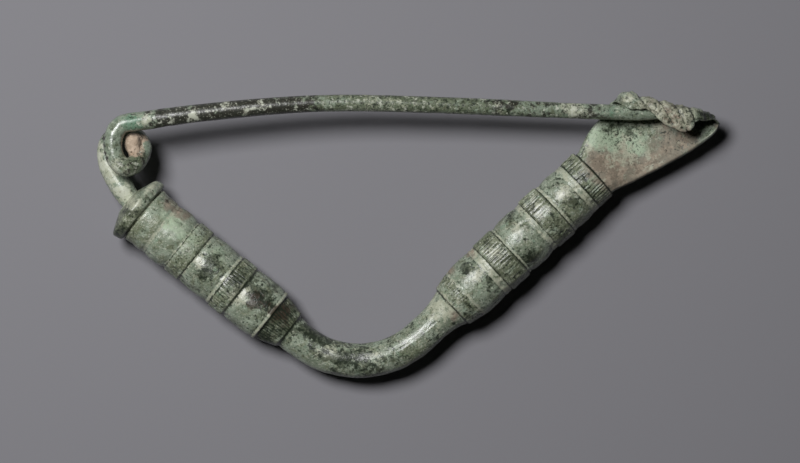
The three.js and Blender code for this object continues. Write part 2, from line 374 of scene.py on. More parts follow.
def write_attribute(mesh: bpy.types.Mesh, name: str, values: Array) -> None:
    """Stores one number for each vertex of a mesh, for its material to read.

    Args:
        mesh: The mesh.
        name: The attribute's name.
        values: The numbers.
    """
    layer = mesh.attributes.new(name, "FLOAT", "POINT")
    layer.data.foreach_set("value", values.astype(np.float32))


# ---------------------------------------------------------------- the bow's arms and elbow


class Layer(Enum):
    """Surface layers that lie in patches on the patina, and the polish that handling left. A few
    patches of the cream, dark, olive and cuprite layers hold painted highlight and painted shade.
    Each is painted on the mesh as a number."""

    CREAM = "cream"
    DARK = "dark"
    SOIL = "soil"
    MINT = "mint"
    CUPRITE = "cuprite"
    OLIVE = "olive"
    SHEEN = "sheen"


BEAD_FULLNESS = 0.62  # a half circle would be 0.5
EDGE = 0.1
RING_EDGE = 0.25


class Form(Enum):
    """The turned elements of an arm."""

    RING = "ring"
    VALLEY = "valley"
    PLAIN = "plain"
    HATCHED = "hatched"
    BEAD = "bead"
    FILLETS = "fillets"


@dataclass(frozen=True)
class Turning:
    """One turned element: its length along the arm and its radius at the crest.

    A tapered band has an end radius, fillets have a count, and a hatched band says how much of
    its hatching wear has left.
    """

    form: Form
    length: float
    radius: float
    end_radius: float = 0.0
    count: int = 1
    left: float = 1.0

    def profile(self, start: float, valley: float) -> list[tuple[float, float]]:
        """Outline points of the element.

        A bead's radius is the valley's plus its height times a power of one minus the square of
        the distance from its middle. Fillets are small ridges, each half a wave of a sine. The
        others are flat between two slanting edges.

        Args:
            start: Where the element starts along the arm.
            valley: Radius between elements.

        Returns:
            Pairs of distance and radius.
        """
        stop = start + self.length
        if self.form is Form.BEAD:
            t = np.linspace(-1.0, 1.0, 25)
            swell = (1.0 - t**2) ** BEAD_FULLNESS
            return list(zip(start + (t + 1.0) / 2.0 * self.length, valley + (self.radius - valley) * swell))
        if self.form is Form.FILLETS:
            t = np.linspace(0.0, 1.0, 12 * self.count + 1)
            ridge = np.abs(np.sin(math.pi * t * self.count))
            return list(zip(start + t * self.length, valley + (self.radius - valley) * ridge))
        if self.form is Form.VALLEY:
            side = self.radius + EDGE
            return [(start, side), (start + self.length / 2, self.radius), (stop, side)]
        edge = RING_EDGE if self.form is Form.RING else EDGE
        last = self.end_radius or self.radius
        return [
            (start, self.radius - edge),
            (start + edge, self.radius),
            (stop - edge, last),
            (stop, last - edge),
        ]


SPRING_ARM = (
    Turning(Form.RING, 1.65, 5.2, end_radius=5.0),
    Turning(Form.VALLEY, 0.23, 4.0),
    Turning(Form.PLAIN, 3.0, 4.5),
    Turning(Form.FILLETS, 0.58, 4.38, count=2),
    Turning(Form.BEAD, 3.54, 4.53),
    Turning(Form.VALLEY, 0.3, 4.15),
    Turning(Form.HATCHED, 2.63, 4.45, left=0.45),
    Turning(Form.VALLEY, 0.22, 4.15),
    Turning(Form.BEAD, 4.95, 4.44),
    Turning(Form.FILLETS, 0.6, 4.36),
    Turning(Form.HATCHED, 2.64, 4.46, left=0.85),
    Turning(Form.VALLEY, 0.12, 4.2),
    Turning(Form.BEAD, 5.34, 4.44),
    Turning(Form.FILLETS, 0.54, 4.32),
    Turning(Form.HATCHED, 3.36, 3.95, end_radius=3.15, left=1.1),
)
CATCH_ARM = (
    Turning(Form.HATCHED, 2.5, 3.65, end_radius=4.15, left=0.55),
    Turning(Form.FILLETS, 0.44, 4.2),
    Turning(Form.BEAD, 4.16, 4.41),
    Turning(Form.FILLETS, 1.27, 4.36, count=2),
    Turning(Form.HATCHED, 3.57, 4.53, left=0.8),
    Turning(Form.FILLETS, 0.46, 4.36),
    Turning(Form.BEAD, 4.5, 4.5),
    Turning(Form.FILLETS, 0.9, 4.36, count=2),
    Turning(Form.HATCHED, 3.38, 4.53, left=1.0),
    Turning(Form.FILLETS, 0.57, 4.36),
    Turning(Form.BEAD, 3.45, 4.44),
    Turning(Form.FILLETS, 1.1, 4.34, count=2),
    Turning(Form.HATCHED, 2.73, 4.32, left=1.7),
)


@dataclass
class BowArms:
    """The collar, both arms and the elbow between them, as one tube with a carved outline.

    Distances count along the middle line from the spring arm's first point.
    """

    spring_start: tuple[float, float, float] = (-40.36, 3.62, 4.9)
    spring_end: tuple[float, float, float] = (-17.87, -14.37, 4.27)
    catch_start: tuple[float, float, float] = (6.83, -10.74, 4.38)
    catch_end: tuple[float, float, float] = (28.04, 9.2, 4.38)
    bend_radius: float = 13.8
    lead_share: float = 0.12
    tail_share: float = 0.05
    valley: float = 4.2
    collar_lead: float = 0.9
    boss_length: float = 1.25
    boss_radius: float = 1.95
    boss_step: float = 0.12
    collar_round: float = 0.4
    neck_step: float = 0.25
    neck_swell: float = 0.15
    neck_length: float = 3.0
    elbow_radius: float = 2.6
    trumpet_radius: float = 3.3
    trumpet_length: float = 4.0
    trumpet_gap: float = 0.1
    edge_softness: float = 0.08
    rows: int = 284
    slope_rate: float = 3.2
    steepest: float = 3.0
    elbow_from: float = 31.5
    elbow_margin: float = 3.0
    elbow_rate: float = 0.55
    incisions: int = 48
    incision_depth: float = 0.16
    incision_shares: tuple = (0.0, 0.17, 0.38, 0.62, 0.83)
    incision_cuts: tuple = (1.0, 0.4, -0.08, -0.08, 0.4)
    incision_pitch: tuple[float, float] = (0.72, 1.28)
    incision_strength: tuple[float, float] = (0.5, 1.3)
    wear_size: float = 3.2
    wear_middle: float = 0.58
    wear_spread: float = 0.6
    wear_limits: tuple[float, float] = (0.08, 1.25)
    sheltered_side: tuple[float, float, float] = (-0.6, 0.6, -0.3)
    lumps: tuple = ((0.08, 3.6, 1), (0.05, 1.3, 2), (0.03, 0.5, 1))
    pit_size: float = 0.7
    pit_depth: float = 0.11
    pit_limits: tuple[float, float] = (0.35, 0.8)
    spur_height: float = 0.45
    spur_place: float = 0.5
    spur_length: float = 0.9
    spur_spread: float = 0.3
    near_radius: float = 5.4
    near_fade: float = 0.4
    band_fade: float = 0.06
    band_dark: float = 0.35
    band_olive: float = 0.6
    band_edge_dark: float = 1.6
    band_edge_width: float = 0.1
    groove_cream: float = 0.65
    groove_dark: float = -0.9
    seed: int = 11

    def centre_line(self) -> Line:
        """The bow's middle line: straight, round an arc where the two arms' lines meet, and
        straight again.

        The arc touches both lines, so it starts before their meeting point by its radius times
        the tangent of half the turn. It climbs evenly from one arm's height to the other's.

        Returns:
            The line, with distance zero at the spring arm's first point.
        """
        a, b, c, d = np.array([self.spring_start, self.spring_end, self.catch_start, self.catch_end])
        inward, outward = unit((b - a) * (1.0 - UP)), unit((d - c) * (1.0 - UP))
        turn = math.acos(float(inward @ outward))
        corner = b + inward * (np.cross(c - b, outward)[2] / np.cross(inward, outward)[2])
        tangent = self.bend_radius * math.tan(turn / 2)
        left = np.cross(UP, inward)
        centre = corner - inward * tangent + left * self.bend_radius
        angle = np.linspace(0.0, turn, 60)[:, None]
        arc = centre + self.bend_radius * (np.sin(angle) * inward - np.cos(angle) * left)
        arc[:, 2] = np.linspace(b[2], c[2], len(arc))
        points = np.concatenate([
            [a + (a - b) * self.lead_share, a, b], arc, [c, d, d + (d - c) * self.tail_share],
        ])
        along = running_length(points)
        along -= along[1]
        even = np.arange(along[0], along[-1], LINE_STEP)
        return Line(np.stack([np.interp(even, along, points[:, k]) for k in range(3)], axis=1), even)

    def catch_distance(self) -> float:
        """Distance along the middle line to where the catch arm's carving starts."""
        line = self.centre_line()
        gaps = np.linalg.norm(line.places - np.array(self.catch_start), axis=1)
        return float(line.distance[gaps.argmin()])

    def outline(self) -> tuple[Array, Array]:
        """Radius along the whole bow, with edges softened by wear.

        The turned elements follow each other, the elbow is an even rod that opens like a trumpet
        into the catch arm by the square of the distance, and a narrow bell-shaped average takes
        the edges off.

        Returns:
            Distances and radii.
        """
        start = -self.collar_lead
        points = [
            (start - self.boss_length, self.boss_radius),
            (start - self.boss_step, SPRING_ARM[0].radius - self.collar_round),
        ]
        for element in SPRING_ARM:
            points += element.profile(start, self.valley)
            start += element.length
        points += [
            (start + self.neck_step, self.elbow_radius + self.neck_swell),
            (start + self.neck_length, self.elbow_radius),
        ]
        start = self.catch_distance()
        share = np.linspace(1.0, 0.0, 9)
        swell = (self.trumpet_radius - self.elbow_radius) * (1.0 - share) ** 2
        reach = start - self.trumpet_gap - share * self.trumpet_length
        points += list(zip(reach, self.elbow_radius + swell))
        for element in CATCH_ARM:
            points += element.profile(start, self.valley)
            start += element.length
        s, r = np.array(sorted(points, key=lambda p: p[0])).T
        fine = np.arange(s[0], s[-1], OUTLINE_STEP)
        spread = 12
        kernel = bell(np.arange(-spread, spread + 1) * OUTLINE_STEP, self.edge_softness)
        padded = np.pad(np.interp(fine, s, r), spread, mode="edge")
        return fine, np.convolve(padded, kernel / kernel.sum(), mode="valid")

    def stations(self, s: Array, r: Array) -> Array:
        """Distances of the rows, close together where the outline turns sharply.

        Rows are spaced so that each holds the same share of a base rate plus the outline's slope.
        The plain elbow needs fewer of them.

        Args:
            s: Distances of the outline.
            r: Radii of the outline.

        Returns:
            The rows' distances.
        """
        slope = np.abs(np.gradient(r, s))
        rate = 1.0 + self.slope_rate * np.minimum(slope, self.steepest)
        elbow = (s > self.elbow_from) & (s < self.catch_distance() - self.elbow_margin)
        rate[elbow] *= self.elbow_rate
        total = np.concatenate([[0.0], np.cumsum((rate[1:] + rate[:-1]) / 2 * np.diff(s))])
        return np.interp(np.linspace(0.0, total[-1], self.rows), total, s)

    def bands(self) -> list[tuple[float, float, float]]:
        """The hatched bands.

        Returns:
            Each band's start and end along the middle line, and how much wear has left.
        """
        found = []
        for start, arm in ((-self.collar_lead, SPRING_ARM), (self.catch_distance(), CATCH_ARM)):
            for element in arm:
                if element.form is Form.HATCHED:
                    found.append((start, start + element.length, element.left))
                start += element.length
        return found

    def carved_layers(self, places: Array) -> dict[Layer, Array]:
        """How the patina follows the carving: hatched bands are darker and more olive, their
        edges are dark lines, and fillets and valleys are pale and clean.

        Args:
            places: The mesh's vertices in mm.

        Returns:
            Painted amounts for three layers.
        """
        dark, cream, olive = (np.zeros(len(places)) for _ in range(3))
        lines = (
            (self.spring_start, self.spring_end, -self.collar_lead, SPRING_ARM),
            (self.catch_start, self.catch_end, 0.0, CATCH_ARM),
        )
        for begin, end, start, arm in lines:
            along = unit(np.subtract(end, begin))
            s = (places - begin) @ along
            aside = np.linalg.norm(places - begin - s[:, None] * along, axis=1)
            near = 1.0 - ramp(aside, self.near_radius, self.near_radius + self.near_fade)
            for element in arm:
                stop = start + element.length
                inside = near * ramp(s, start - self.band_fade, start + self.band_fade)
                inside = inside * (1.0 - ramp(s, stop - self.band_fade, stop + self.band_fade))
                if element.form is Form.HATCHED:
                    edges = bell(s - start + 0.04, self.band_edge_width)
                    edges = edges + bell(s - stop - 0.04, self.band_edge_width)
                    dark += self.band_dark * inside + self.band_edge_dark * near * edges
                    olive += self.band_olive * inside
                if element.form in (Form.FILLETS, Form.VALLEY):
                    cream += self.groove_cream * inside
                    dark += self.groove_dark * inside
                start = stop
        return {Layer.DARK: dark, Layer.CREAM: cream, Layer.OLIVE: olive}

    def grid_angles(self, rng: np.random.Generator, rows: Array) -> Array:
        """Angles of the grid lines, which run lengthwise, five to an incision.

        In each band they gather round that band's own uneven incisions, and they drift from one
        band's places to the next's in between.

        Args:
            rng: Random numbers for the incisions' spacing.
            rows: The rows' distances.

        Returns:
            One angle for each row and grid line.
        """
        lines = []
        for _ in self.bands():
            pitch = rng.uniform(*self.incision_pitch, self.incisions)
            edges = np.concatenate([[0.0], np.cumsum(pitch)]) / pitch.sum()
            shares = edges[:-1, None] + np.diff(edges)[:, None] * np.array(self.incision_shares)
            lines.append((shares * 2 * math.pi).ravel())
        ends = np.array([[low, high] for low, high, _ in self.bands()]).ravel()
        table = np.repeat(np.array(lines), 2, axis=0)
        return np.stack([np.interp(rows, ends, table[:, k]) for k in range(table.shape[1])], axis=1)

    def hatching(self, rng: np.random.Generator, rows: Array) -> Array:
        """How deep the hatching cuts, as a share of a fresh incision's depth.

        Each incision has its own strength, and the flats between them stand up a little.

        Args:
            rng: Random numbers for the incisions' strengths.
            rows: The rows' distances.

        Returns:
            One share for each row and grid line.
        """
        depth = np.zeros((len(rows), self.incisions * len(self.incision_cuts)))
        for low, high, left in self.bands():
            inside = ramp(rows, low - 0.02, low + 0.16) * (1.0 - ramp(rows, high - 0.16, high + 0.02))
            strength = rng.uniform(*self.incision_strength, self.incisions)
            cuts = np.tile(self.incision_cuts, self.incisions)
            depth += inside[:, None] * (left * cuts * np.repeat(strength, len(self.incision_cuts)))
        return depth

    def wear(self, base: Array, ray: Array) -> Array:
        """How crisp the hatching still is: a random field, and crisper on the sheltered side.

        Args:
            base: The grid's points.
            ray: The direction outwards at each.

        Returns:
            The share of a fresh incision's depth that is left.
        """
        worn = Grain(self.wear_size, self.seed + 1, 2).at(base)
        sheltered = ray @ np.array(self.sheltered_side)
        left = self.wear_middle + self.wear_spread * worn + self.wear_spread * sheltered
        return np.clip(left, *self.wear_limits)

    def surface(self) -> Surface:
        """The carved tube.

        A point is the middle line's place plus its radius times the level direction's cosine and
        the lift direction's sine. Lumps, pits, hatching and a spur on the collar then move it
        along the same ray, and what is below the resting surface is flattened onto it.

        Returns:
            The arms' surface.
        """
        s, r = self.outline()
        rows = self.stations(s, r)
        rng = np.random.default_rng(self.seed)
        angle = self.grid_angles(rng, rows)
        line = self.centre_line()
        _, across, lift = line.frames(rows)
        ray = np.cos(angle)[..., None] * across[:, None] + np.sin(angle)[..., None] * lift[:, None]
        base = line.at(rows)[:, None] + ray * np.interp(rows, s, r)[:, None, None]
        cuts = self.incision_depth * self.hatching(rng, rows) * self.wear(base, ray)
        pits = self.pit_depth * ramp(Grain(self.pit_size, self.seed + 5).at(base), *self.pit_limits)
        side = np.minimum(angle, 2 * math.pi - angle)
        spur = self.spur_height * bell(rows - self.spur_place, self.spur_length)[:, None]
        spur = spur * bell(side, self.spur_spread)
        height = lumpy(base, self.lumps, self.seed + 2) - pits - cuts + spur
        height *= ramp(rows, rows[0], rows[0] + 0.8)[:, None]
        points = base + ray * height[..., None]
        points[..., 2] = np.maximum(points[..., 2], 0.0)
        return Surface(points)


# ---------------------------------------------------------------- the catch


class Stretch(Enum):
    """Stretches of the hand's section in their order round it, each with its number of points
    and its share of the fold's crust and ribs."""

    UNDER = ("under", 12, 0.0)
    BACK = ("back", 13, 0.9)
    BEND = ("bend", 13, 1.0)
    ROOF = ("roof", 21, 1.0)
    TIP = ("tip", 6, 0.7)
    ROOF_INSIDE = ("roof_inside", 8, 0.0)
    BEND_INSIDE = ("bend_inside", 6, 0.0)
    BACK_INSIDE = ("back_inside", 7, 0.0)
    PALM = ("palm", 30, 0.0)
    RIM = ("rim", 8, 0.0)

    def __init__(self, label: str, count: int, relief: float) -> None:
        """Keeps the number of points and the share of the relief."""
        self.count = count
        self.relief = relief

    def shares(self) -> Array:
        """Even shares of the stretch from 0 to just before 1, as one row."""
        return np.linspace(0.0, 1.0, self.count + 1)[None, :-1]


Stretches = dict[Stretch, tuple[Array, Array]]


@dataclass(frozen=True)
class Sections:
    """Measures of the hand's sections, as columns with one row for each section.

    These are the share along the hand, the places of both edges, the width between them, how
    whole the lip is, the wrist's extra thickness, how far the palm rises to the fold, the roof's
    height, the roof's reach over the pin, the thickness left at the nose, and the ribs.
    """

    u: Array
    north: Array
    south: Array
    width: Array
    lip: Array
    wrist: Array
    rise: Array
    roof: Array
    reach: Array
    nose: Array
    rib: Array


@dataclass
class CatchHand:
    """The palm at the end of the catch arm, with fingers that fold over the pin.

    The hand is a row of sections from the arm to its nose. Each section is a closed line: under
    the palm, up the back of the fold, over the pin to the fingertips, back inside the fold, and
    across the top of the palm to the straight edge.
    """

    shares: tuple = (
        0.0, 0.12, 0.22, 0.3, 0.36, 0.42, 0.48, 0.54, 0.62, 0.7, 0.8, 0.89, 0.95, 0.98, 1.0,
    )
    straight_edge: tuple = (
        (30.75, 6.4), (32.9, 7.45), (34.8, 8.35), (36.2, 9.05), (37.2, 9.55), (38.2, 10.05),
        (39.2, 10.6), (40.2, 11.15), (41.3, 11.75), (42.4, 12.4), (43.75, 13.3), (45.2, 14.35),
        (46.3, 15.3), (46.75, 16.0), (46.85, 16.6),
    )
    folded_edge: tuple = (
        (25.65, 12.1), (26.4, 13.7), (27.5, 15.7), (29.1, 17.8), (30.6, 20.0), (31.9, 21.05),
        (33.3, 21.3), (34.75, 20.75), (36.9, 20.35), (39.0, 19.8), (41.7, 19.15), (44.3, 18.75),
        (45.7, 18.4), (46.45, 17.85), (46.75, 17.3),
    )
    fingers: tuple = (33.0, 36.4, 38.9, 41.0, 43.4)
    tips: tuple = (
        (30.0, 18.9), (34.3, 18.9), (35.1, 18.2), (35.8, 17.4), (36.5, 16.75), (37.65, 16.0),
        (38.7, 15.65), (39.8, 15.6), (40.8, 16.0), (41.7, 16.55), (42.5, 17.15), (43.3, 17.65),
        (44.2, 18.1), (45.2, 18.4), (47.0, 18.8),
    )
    top: float = 5.2
    bottom: float = 3.75
    burial: tuple[float, float] = (-1.32, -1.24)
    nose_share: float = 0.05
    nose_thickness: float = 0.35
    edge_width: float = 0.45
    rim_height: float = 0.22
    rim_width: float = 0.7
    nose_rim_height: float = 0.5
    dish: float = 0.25
    wrist: float = 2.0
    wrist_share: float = 0.34
    fold_rise: float = 0.9
    lip_start: float = 30.5
    lip_whole: float = 31.9
    roof: float = 10.1
    roof_drop: float = 0.1
    level_until: float = 40.3
    curl: float = 1.6
    droop: float = 0.0875
    thickness: float = 0.66
    lean: float = 0.5
    rib: float = 0.34
    tip_wave: float = 0.18
    lumps: tuple = ((0.05, 2.6, 1), (0.03, 1.0, 2))
    crust_size: float = 0.62
    plain_crust: float = 0.015
    fold_crust: float = 0.13
    rows: int = 180
    seed: int = 31

    def rib_height(self, x: Array) -> Array:
        """Fingers as rounded ridges with narrow grooves between them.

        Args:
            x: Places along the fold.

        Returns:
            The root of the sine of the share of the way from one groove to the next.
        """
        middles = np.array(self.fingers)
        grooves = (middles[1:] + middles[:-1]) / 2
        edges = np.concatenate([[middles[0] - 1.7], grooves, [middles[-1] + 1.0]])
        number = np.clip(np.searchsorted(edges, x, side="right") - 1, 0, len(middles) - 1)
        share = (x - edges[number]) / (edges[number + 1] - edges[number])
        return np.sqrt(np.clip(np.sin(math.pi * np.clip(share, 0, 1)), 0, 1))

    def sections(self) -> Sections:
        """Measures every section from the edges and the fingertips.

        The first sections are pushed back into the arm. The nose thins by the root of one minus
        a square, like the end of an ellipse.

        Returns:
            The measures.
        """
        u = np.linspace(0.0, 1.0, self.rows)
        buried = ramp(1.0 - u, 0.97, 1.0)[:, None] * np.array(self.burial)
        north = smooth_curve(np.array(self.shares), np.array(self.folded_edge), u) + buried
        south = smooth_curve(np.array(self.shares), np.array(self.straight_edge), u) + buried
        width = np.linalg.norm(north - south, axis=1)
        x = north[:, 0]
        rib = self.rib_height(x)
        tip_x, tip_y = np.array(self.tips).T
        slant = np.maximum(north[:, 1] - south[:, 1], 0.3)
        reach = np.clip((north[:, 1] - np.interp(x, tip_x, tip_y)) * width / slant, 0.7, None)
        reach = np.minimum(reach, width * 0.98) + self.tip_wave * (rib - 0.5) * ramp(x, 35.0, 36.5)
        end = np.clip((u - 1.0 + self.nose_share) / self.nose_share, 0, 1)
        nose = np.sqrt(np.clip(1.0 - end**2, 0.01, 1.0))
        columns = {
            "u": u,
            "width": width,
            "lip": ramp(x, self.lip_start, self.lip_whole),
            "wrist": self.wrist * (1.0 - ramp(u, 0.0, self.wrist_share)),
            "rise": self.fold_rise * ramp(u, 0.1, 0.3),
            "roof": self.roof - self.roof_drop * np.maximum(0.0, x - self.level_until) ** 2,
            "reach": reach,
            "nose": self.nose_thickness + (1.0 - self.nose_thickness) * nose,
            "rib": rib,
        }
        return Sections(north=north, south=south, **{k: v[:, None] for k, v in columns.items()})

    def top_height(self, cut: Sections, place: Array) -> Array:
        """Height of the palm's top: crowned at the wrist, dished further on, with a raised rim.

        Args:
            cut: The sections.
            place: Distance from the straight edge.

        Returns:
            Height for each section and place.
        """
        share = np.clip(place / cut.width, 0.0, 1.0)
        crown = 1.0 - (2.0 * share - 1.0) ** 4
        dish = self.dish * np.sin(math.pi * share) * ramp(cut.u, 0.2, 0.6)
        rim = self.rim_height + self.nose_rim_height * ramp(cut.u, 0.8, 0.92)
        rim = rim * bell(place, self.rim_width)
        return self.top + cut.wrist * crown + cut.rise * ramp(share, 0.55, 1.0) - dish + rim

    def under_height(self, cut: Sections, place: Array) -> Array:
        """Height of the palm's underside, which bulges at the wrist and follows the top's rise.

        Args:
            cut: The sections.
            place: Distance from the straight edge.

        Returns:
            Height for each section and place.
        """
        share = np.clip(place / cut.width, 0.0, 1.0)
        crown = 1.0 - (2.0 * share - 1.0) ** 4
        return self.bottom - cut.wrist * crown + 0.85 * cut.rise * ramp(share, 0.55, 1.0)

    def edge(self, cut: Sections) -> Array:
        """How far in the palm's rounded edges reach."""
        return np.minimum(self.edge_width, cut.width * 0.3)

    def palm_stretches(self, cut: Sections) -> Stretches:
        """Under the palm, across its top, and round its straight edge by half an ellipse.

        Args:
            cut: The sections.

        Returns:
            Distance across and height of each stretch's points.
        """
        edge = self.edge(cut)
        under = edge + Stretch.UNDER.shares() * (cut.width - 2 * edge)
        inner = cut.width - self.thickness - self.lean
        palm = inner + Stretch.PALM.shares() * (edge - inner)
        t = Stretch.RIM.shares() * math.pi
        high, low = self.top_height(cut, edge), self.under_height(cut, edge)
        return {
            Stretch.UNDER: (under, self.under_height(cut, under)),
            Stretch.PALM: (palm, self.top_height(cut, palm)),
            Stretch.RIM: (edge * (1.0 - np.sin(t)), (high + low) / 2 + (high - low) / 2 * np.cos(t)),
        }

    def fold_stretches(self, cut: Sections) -> Stretches:
        """The fold: up its back, round a quarter circle, along the drooping roof, round the
        fingertips by half an ellipse, and back inside, the thickness further in.

        Args:
            cut: The sections.

        Returns:
            Distance across and height of each stretch's points.
        """
        w, roof, thin, edge = cut.width, cut.roof, self.thickness, self.edge(cut)
        curl = np.minimum(self.curl, (roof - self.under_height(cut, w) - 0.35) * 0.45)
        curl = np.minimum(curl, w * 0.45)
        start, eaves, inner = self.under_height(cut, w - edge), roof - curl, curl - thin
        over = np.maximum(0.02, cut.reach - curl)
        droop = self.droop * over
        fold = {}
        t = Stretch.BACK.shares()
        foot = edge * np.sin(math.pi / 2 * np.minimum(1.0, 2.5 * t))
        fold[Stretch.BACK] = (w - edge + foot, start + (eaves - start) * t**1.15)
        t = Stretch.BEND.shares() * math.pi / 2
        fold[Stretch.BEND] = (w - curl + curl * np.cos(t), eaves + curl * np.sin(t))
        t = Stretch.ROOF.shares()
        fold[Stretch.ROOF] = (w - curl - over * t, roof - droop * t**2)
        t = Stretch.TIP.shares() * math.pi
        tip_z = roof - droop - thin / 2
        fold[Stretch.TIP] = (w - curl - over - 0.4 * thin * np.sin(t), tip_z + thin / 2 * np.cos(t))
        t = 1.0 - Stretch.ROOF_INSIDE.shares()
        fold[Stretch.ROOF_INSIDE] = (w - curl - over * t, roof - thin - droop * t**2)
        t = (1.0 - Stretch.BEND_INSIDE.shares()) * math.pi / 2
        fold[Stretch.BEND_INSIDE] = (w - curl + inner * np.cos(t), eaves + inner * np.sin(t))
        t = Stretch.BACK_INSIDE.shares()
        floor = self.top_height(cut, w - thin)
        fold[Stretch.BACK_INSIDE] = (w - thin - self.lean * t**3, eaves * (1 - t) + floor * t)
        return fold

    def laid_open(self, cut: Sections, fold: Stretches) -> Stretches:
        """The fold's stretches, laid back to a plain round edge where the hand has no lip.

        Args:
            cut: The sections.
            fold: The stretches of a whole fold.

        Returns:
            The stretches, mixed by how whole the lip is.
        """
        edge = self.edge(cut)
        high, low = (height(cut, cut.width - edge) for height in (self.top_height, self.under_height))
        total = sum(stretch.count for stretch in fold)
        done = 0
        opened = {}
        for stretch, (fold_w, fold_z) in fold.items():
            t = ((done + np.arange(stretch.count)) / total)[None, :] * math.pi
            plain_w = cut.width - edge + edge * np.sin(t)
            plain_z = (high + low) / 2 - (high - low) / 2 * np.cos(t)
            opened[stretch] = (
                plain_w + (fold_w - plain_w) * cut.lip,
                plain_z + (fold_z - plain_z) * cut.lip,
            )
            done += stretch.count
        return opened

    def surface(self) -> Surface:
        """The hand's surface.

        A point lies between its section's two edges by its share of the width, at its height,
        which thins towards the middle at the nose. Ribs and crust then move it outwards.

        Returns:
            The closed surface, its first sections buried in the arm's end.
        """
        cut = self.sections()
        line = self.palm_stretches(cut) | self.laid_open(cut, self.fold_stretches(cut))
        across, height = (
            np.concatenate(
                [np.broadcast_to(line[s][k], (self.rows, s.count)) for s in Stretch], axis=1
            )
            for k in range(2)
        )
        middle = (self.top + self.bottom) / 2
        height = middle + (height - middle) * cut.nose
        share = (across / cut.width)[..., None]
        level = cut.south[:, None] + (cut.north - cut.south)[:, None] * share
        points = np.concatenate([level, height[..., None]], axis=-1)
        relief = np.concatenate([np.full(s.count, s.relief) for s in Stretch])
        relief = np.convolve(np.pad(relief, 3, mode="wrap"), np.ones(7) / 7, mode="valid")
        crusty = ramp(relief, 0.2, 0.9)[None, :] * cut.lip
        crust = self.plain_crust + self.fold_crust * crusty
        crust = crust * Grain(self.crust_size, self.seed + 2, 2).at(points)
        ribs = self.rib * (cut.rib - 0.75) * relief[None, :] * cut.lip
        return Surface(points).displaced(lumpy(points, self.lumps, self.seed) + crust + ribs)


# ---------------------------------------------------------------- the wire and the soil in its eye


